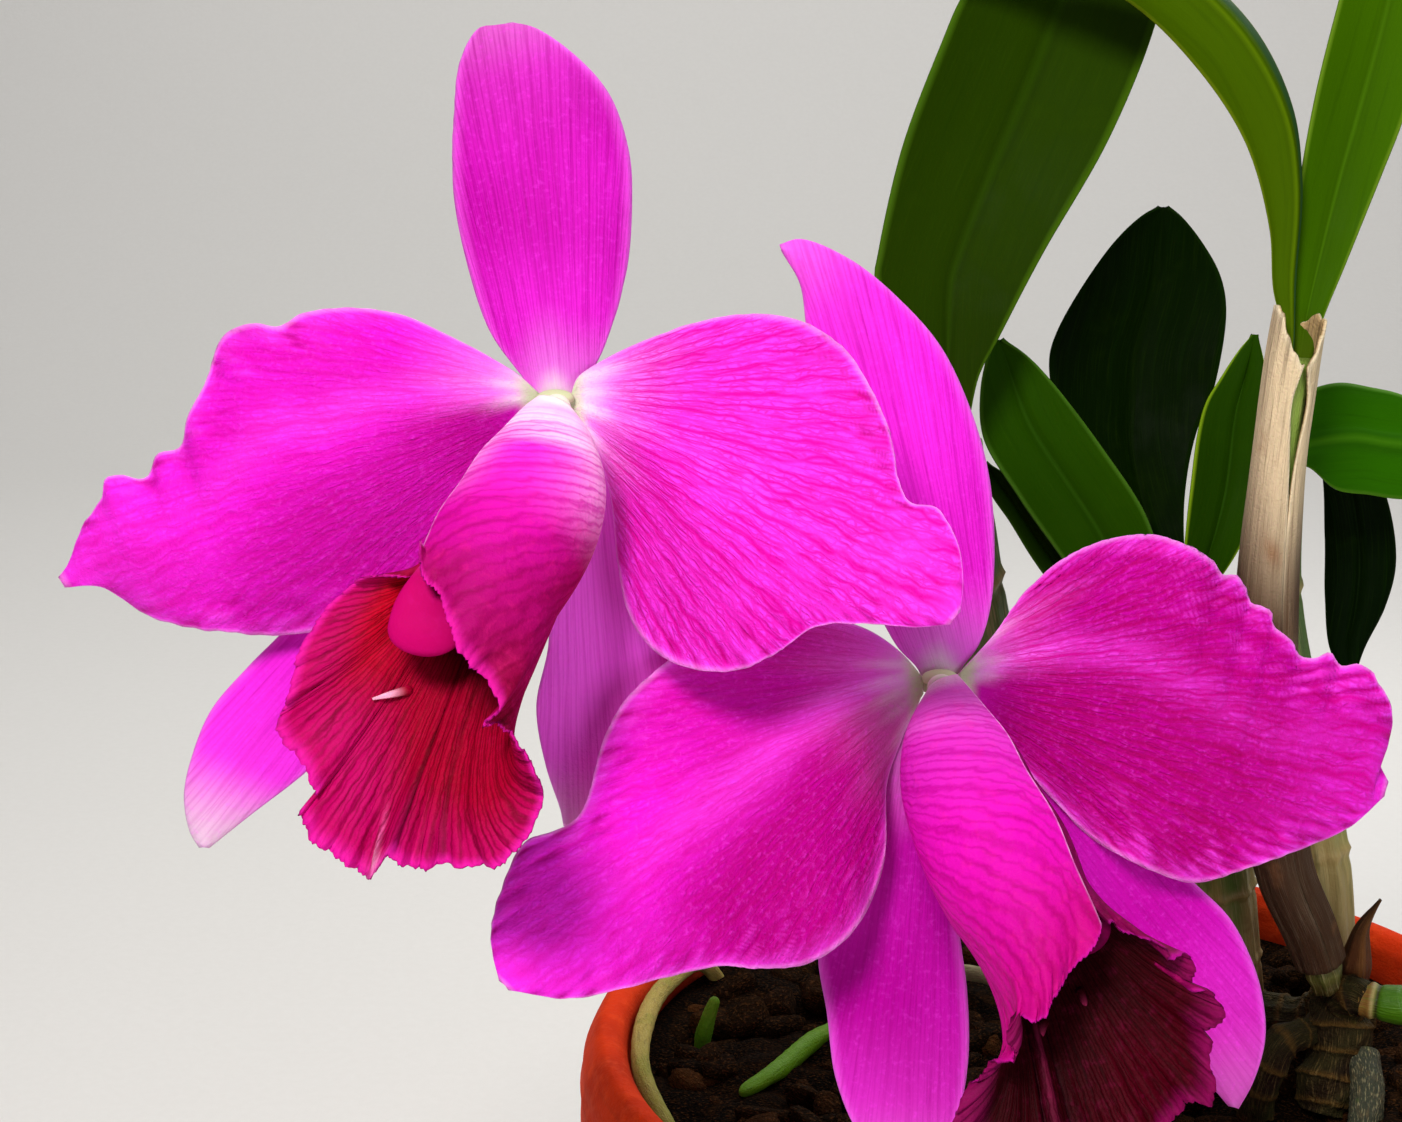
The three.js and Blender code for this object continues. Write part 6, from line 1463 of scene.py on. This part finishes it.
def potPiece(look):
    def handmade(r, z, turn):
        marks = look["mark"] * np.sin(z * look["markTurn"] + 0.4 * np.sin(turn)) * ease(20, 40, r)
        wobble = look["wobble"] * roundNoise(turn, 1.6, z / 60, 91)
        return marks + wobble * ease(20, 50, r)
    piece = meshFrom("pot", [turnedPart(roundedProfile(potProfile(look)), look["sides"], handmade)])
    for k in range(look["drains"]):
        angle = math.pi / 2 + 2 * math.pi * k / look["drains"]
        middle = look["drainCircle"] * np.array([math.cos(angle), math.sin(angle)])
        line = np.array([[*middle, -look["floor"]], [*middle, 2 * look["floor"]]], float)
        ring, t, turn = stemRings(line, [look["drainRadius"]] * 2, look["drainSides"], 4)
        values = {"tint": np.ones(3), "veinPlace": roundPlace(look["drainRadius"], turn, t)}
        hole = meshFrom("drainHole", [stemPart(ring, values)])
        cut = piece.modifiers.new("drain", "BOOLEAN")
        cut.object, cut.operation, cut.solver = hole, "DIFFERENCE", "EXACT"
        bpy.context.view_layer.update()
        seen = piece.evaluated_get(bpy.context.evaluated_depsgraph_get())
        cutMesh = bpy.data.meshes.new_from_object(seen)
        piece.modifiers.clear()
        piece.data = cutMesh
        bpy.data.objects.remove(hole)
    piece.data.shade_smooth()
    return piece


def clayMaterial(look):
    material, shader = newMaterial("clay", {"Roughness": 0.72, "Specular IOR Level": 0.06})
    place = addNode(material, "TexCoord").outputs["Object"]
    height = addNode(material, "SeparateXYZ", {"Vector": place}).outputs["Z"]
    blotch = noise(material, place, look["blotchScale"], 5, 0.6)
    fine = noise(material, place, look["fineScale"], 4, 0.65)
    grit = noise(material, place, look["gritScale"], 2, 0.7)
    marks = noise(material, scaled(material, place, (6, 6, look["turnScale"])), 1.0, 3, 0.6)
    colour = stained(material, paint(look["clay"]), blotch, 0.35, 0.65, 1, look["deepClay"])
    colour = stained(material, colour, fine, 0.45, 0.75, 0.5, look["lightClay"])
    colour = stained(material, colour, marks, 0.55, 0.8, 0.35, look["turned"])
    low = spread(material, height, *look["limeHeights"], 0.1, 0.8)  # lime blooms mostly near the foot
    salt = product(material, spread(material, blotch, 0.5, 0.72, 0, 1), low)
    salt = product(material, salt, spread(material, fine, 0.42, 0.6, 0, 0.7))
    colour = mixColour(material, salt, colour, paint(look["lime"]))
    soil = spread(material, height, *look["soilHeights"], 0.65, 0)
    inner = attribute(material, "inside", "Fac")
    # painted shade: the inner wall is darkened
    colour = mixColour(material, inner, colour, paint(look["innerClay"]))
    colour = mixColour(material, product(material, soil, inner), colour, paint(look["soil"]))
    bump = weighted(material, (fine, 0.5), (grit, 0.4), (marks, 0.5))
    rough = spread(material, blotch, 0.3, 0.7, 0.62, 0.8)
    return finishMaterial(material, shader, colour, bump, look["bumpDepth"], rough)


def markInside(piece, look):  # marks the points on the inner wall, which take painted shade
    points = np.empty(3 * len(piece.data.vertices), np.float32)
    piece.data.vertices.foreach_get("co", points)
    points = points.reshape(-1, 3) / mm
    radius = np.hypot(points[:, 0], points[:, 1])
    rim = (look["lipInnerRadius"] + look["lipOuterRadius"]) / 2
    share = (points[:, 2] - look["floor"]) / (look["height"] - look["floor"])
    wallMiddle = look["footRadius"] + (rim - look["footRadius"]) * share.clip(0, 1) - look["wall"] / 2
    inside = ease(1.5, -1.5, radius - wallMiddle) * (points[:, 2] > look["floor"] - 1)
    kind, field = valueKinds["inside"]
    piece.data.attributes.new("inside", kind, "POINT").data.foreach_set(field, inside.astype(np.float32))


pot = potPiece(potLook)
markInside(pot, potLook)
stand(pot, "pot", clayMaterial(potLook))
print("pot made")

# Potting medium: bark chunks over a rough bed, low under the roots and the rhizome.
mediumLook = {
    "top": 152, "gap": 0.3, "rings": 54, "sides": 140, "rough": 1.5, "chunks": 560, "chunkRadius": 86,
    "seed": 17, "least": [5, 3.6, 2.6], "spare": [8, 5.5, 3.6], "cells": 4, "lift": [-1.0, 2.4],
    # the bed and bark tints are near black: partly the bark's own dark colour, partly painted shade
    "lowLift": -2.6, "clearance": 6.5, "stemReach": 12, "bed": "060301", "bark": "1a0e04",
    "paleBark": "40240e", "darkBark": "0a0502",
    "squareness": 0.55, "tilt": 0.45, "dent": 0.13, "layer": 0.06, "dentShade": 0.25,
}


def bedPart(look, pots):
    band = pots["height"] - pots["bandHeight"]
    wallFoot = pots["footRadius"] - pots["wall"] - look["gap"]
    wallBand = pots["lipOuterRadius"] - pots["bandStep"] - pots["wall"] - look["gap"]
    share = (look["top"] - band) / (pots["height"] - band)
    wallTop = wallBand + (pots["lipInnerRadius"] - wallBand) * share - look["gap"]
    low = pots["floor"] + look["gap"]
    radii = np.linspace(wallTop, 0.6, look["rings"])
    profile = np.array([[0, low], [0.6, low], [wallFoot, low], [wallBand, band],
                        *[[radius, look["top"]] for radius in radii], [0, look["top"]]])
    turn = turnsOf(look["sides"])
    r, z = profile[1:-1, :1], profile[1:-1, 1:]
    x, y = r * np.cos(turn), r * np.sin(turn)
    rough = softNoise(x / 5, y / 5, 61) + 0.6 * softNoise(x / 2.2, y / 2.2, 62)
    inside = (z > look["top"] - 1) * ease(wallTop, wallTop - 5, r)
    ring = np.stack([x, y, z + look["rough"] * rough * inside], -1)
    shade = 0.5 + 0.5 * softNoise(x / 4, y / 4, 63)
    colour = tinted(paint(look["bed"]), look["darkBark"], shade)
    return stemPart(ring, {"tint": colour, "veinPlace": ring})


def cubeGrid(cells):  # one closed cube of small faces, its shared points merged
    steps = np.linspace(-1, 1, cells + 1)
    points, faces, seen = [], [], {}

    def pointNumber(p):
        key = tuple(np.round(p, 5))
        if key not in seen:
            seen[key] = len(points)
            points.append(key)
        return seen[key]
    for axis in range(3):
        for end in (-1, 1):
            for i in range(cells):
                for j in range(cells):
                    loop = []
                    for a, b in ((i, j), (i + 1, j), (i + 1, j + 1), (i, j + 1)):
                        p = [0, 0, 0]
                        p[axis], p[(axis + 1) % 3], p[(axis + 2) % 3] = end, steps[a], steps[b]
                        loop.append(pointNumber(p))
                    faces.append(loop if end > 0 else loop[::-1])
    return np.array(points), np.array(faces)


def spinMatrix(tiltX, tiltY, turn):
    cx, sx, cy, sy, cz, sz = [f(a) for a in (tiltX, tiltY, turn) for f in (math.cos, math.sin)]
    aboutX = np.array([[1, 0, 0], [0, cx, -sx], [0, sx, cx]])
    aboutY = np.array([[cy, 0, sy], [0, 1, 0], [-sy, 0, cy]])
    aboutZ = np.array([[cz, -sz, 0], [sz, cz, 0], [0, 0, 1]])
    return aboutZ @ aboutY @ aboutX


def chunkParts(look, stems):
    draw = random.Random(look["seed"])
    cube, faces = cubeGrid(look["cells"])
    soft = cube / np.maximum(np.linalg.norm(cube, axis=1, keepdims=True) ** look["squareness"], 1e-6)
    across = 1 / look["cells"]
    corner = np.array([[0, 0], [across, 0], [across, across], [0, across]]) * 0.9
    side = np.arange(len(faces)) % look["cells"] ** 2
    base = np.stack([side // look["cells"], side % look["cells"]], -1) * across
    sheet = np.arange(len(faces)) // look["cells"] ** 2
    uvs = (base[:, None] + corner) * 0.32 + np.stack([sheet % 3 / 3, sheet // 3 / 3], -1)[:, None]
    parts = []
    for k in range(look["chunks"]):
        size = np.array([low + more * draw.random() for low, more in zip(look["least"], look["spare"])]) / 2
        tilts = [draw.uniform(-look["tilt"], look["tilt"]) for _ in range(2)]
        spin = spinMatrix(*tilts, draw.uniform(0, 2 * math.pi))
        far, way = look["chunkRadius"] * math.sqrt(draw.random()), draw.uniform(0, 2 * math.pi)
        x, y = far * math.cos(way), far * math.sin(way)
        near = np.hypot(stems[:, 0] - x, stems[:, 1] - y).min() - size[0]
        lift = draw.uniform(*look["lift"]) if near > look["clearance"] - size[0] / 2 else look["lowLift"]
        dent = softNoise(2.2 * soft[:, 0] + k, 2.2 * soft[:, 1] + soft[:, 2], k + 100)
        layers = np.sin(7 * soft[:, 2] + 2 * softNoise(2 * soft[:, 0], 2 * soft[:, 1] + k, 7))
        shape = soft * size * (1 + look["dent"] * dent)[:, None]
        shape[:, :2] *= (1 + look["layer"] * layers)[:, None]
        points = shape @ spin.T + [x, y, look["top"] + lift]
        base = tinted(paint(look["bark"]), look["paleBark"], draw.random() ** 2)
        base = tinted(base, look["darkBark"], 0.8 * draw.random())
        tint = base * (1 + look["dentShade"] * dent)[:, None].clip(0.4, 2)
        place = shape[:, [0, 2, 1]] + [40 * k % 997, 13 * k % 499, 0]  # no two chunks share one pattern
        values = {"tint": tint, "veinPlace": place}
        parts.append({"points": points, "faces": [faces], "uvs": uvs.reshape(-1, 2), "values": values})
    return parts


stemPlaces = [smoothLine(root["path"]) for root in roots] + [smoothLine(stem[0]) for stem in rhizomeStems]
stemPlaces += [smoothLine(bulb["path"])[-20:] for bulb in bulbs]
stemPlaces = np.concatenate(stemPlaces)
stemPlaces = stemPlaces[stemPlaces[:, 2] < mediumLook["top"] + mediumLook["stemReach"]]
chunks = chunkParts(mediumLook, stemPlaces)
tilesAcross = math.ceil(math.sqrt(len(chunks)))
tiles = [(0, 0, 0.5, 1)]
for k in range(len(chunks)):
    u, v = k % tilesAcross / tilesAcross, k // tilesAcross / tilesAcross
    tiles.append((0.5 + u / 2, v, 0.5 + (u + 0.95 / tilesAcross) / 2, v + 0.95 / tilesAcross))
build("potting_medium", [bedPart(mediumLook, potLook), *chunks], skins["barkSkin"], tiles)
print("medium made")


# Stage: pale floor with a sweep behind, soft lights and the camera, in metres.
stageLook = {
    "front": -1.6, "back": 1.3, "bend": 0.9, "wallHeight": 2.4, "halfWidth": 2.6, "steps": 24,
    "paper": "dcdad6", "fleck": "cfccc6", "fleckScale": 260, "fleckShare": 0.12, "fleckDepth": 0.0002,
    "world": "e9eaee", "worldStrength": 0.2,
}


def floorPiece(look):
    profile = [[look["front"], 0.0], [look["back"], 0.0]]
    for k in range(1, look["steps"] + 1):
        turn = math.pi / 2 * k / look["steps"]
        profile.append([look["back"] + look["bend"] * math.sin(turn), look["bend"] * (1 - math.cos(turn))])
    profile.append([look["back"] + look["bend"], look["wallHeight"]])
    points = [(x, y, z) for y, z in profile for x in (-look["halfWidth"], look["halfWidth"])]
    faces = [(2 * k, 2 * k + 1, 2 * k + 3, 2 * k + 2) for k in range(len(profile) - 1)]
    mesh = bpy.data.meshes.new("floor")
    mesh.from_pydata(points, [], faces)
    mesh.shade_smooth()
    floor = bpy.data.objects.new("floor", mesh)
    bpy.context.scene.collection.objects.link(floor)
    material, shader = newMaterial("floorPaper", {"Roughness": 0.9, "Specular IOR Level": 0.2})
    place = addNode(material, "TexCoord").outputs["Object"]
    fleck = noise(material, place, look["fleckScale"], 3, 0.6)
    colour = stained(material, paint(look["paper"]), fleck, 0.3, 0.7, look["fleckShare"], look["fleck"])
    finishMaterial(material, shader, colour, fleck, look["fleckDepth"])
    mesh.materials.append(material)


plantMiddle = (0, -0.05, 0.27)
lights = {  # place, what it points at, width, power and tone
    "keyLight": [(-0.32, -0.8, 0.98), plantMiddle, 0.3, 11.5, (1, 0.97, 0.94)],
    "fillLight": [(0.4, -0.95, 0.3), plantMiddle, 0.6, 3.2, (0.95, 0.97, 1)],
    "rimLight": [(0.45, 0.6, 0.85), plantMiddle, 0.5, 4, (1, 1, 1)],
    "sweepLight": [(0, 0.7, 1.9), (0, 2.0, 0.5), 1.2, 22, (1, 1, 1)],
}


def areaLight(name, place, aim, size, power, tone):
    data = bpy.data.lights.new(name, "AREA")
    data.shape, data.size, data.energy, data.color = "DISK", size, power, tone
    lamp = bpy.data.objects.new(name, data)
    lamp.location = place
    lamp.rotation_euler = (Vector(aim) - Vector(place)).to_track_quat("-Z", "Y").to_euler()
    bpy.context.scene.collection.objects.link(lamp)


floorPiece(stageLook)
for name, light in lights.items():
    areaLight(name, *light)
world = bpy.data.worlds.new("studio")
world.use_nodes = True
background = world.node_tree.nodes["Background"].inputs
background["Color"].default_value = (*paint(stageLook["world"]), 1)
background["Strength"].default_value = stageLook["worldStrength"]
bpy.context.scene.world = world
bpy.context.scene.view_settings.view_transform = "Standard"
cameraLook = {"focalPixels": 2500, "imageWidth": 1402, "sensor": 36, "nearest": 0.02}
cameraData = bpy.data.cameras.new("camera")
cameraData.sensor_fit = "HORIZONTAL"
cameraData.sensor_width = cameraLook["sensor"]
cameraData.lens = cameraLook["focalPixels"] * cameraLook["sensor"] / cameraLook["imageWidth"]
cameraData.clip_start = cameraLook["nearest"]
camera = bpy.data.objects.new("camera", cameraData)
camera.location = frontPoint * mm
camera.rotation_euler = (planeLean, 0, 0)
bpy.context.scene.collection.objects.link(camera)
bpy.context.scene.camera = camera
print("stage, lights and camera set")
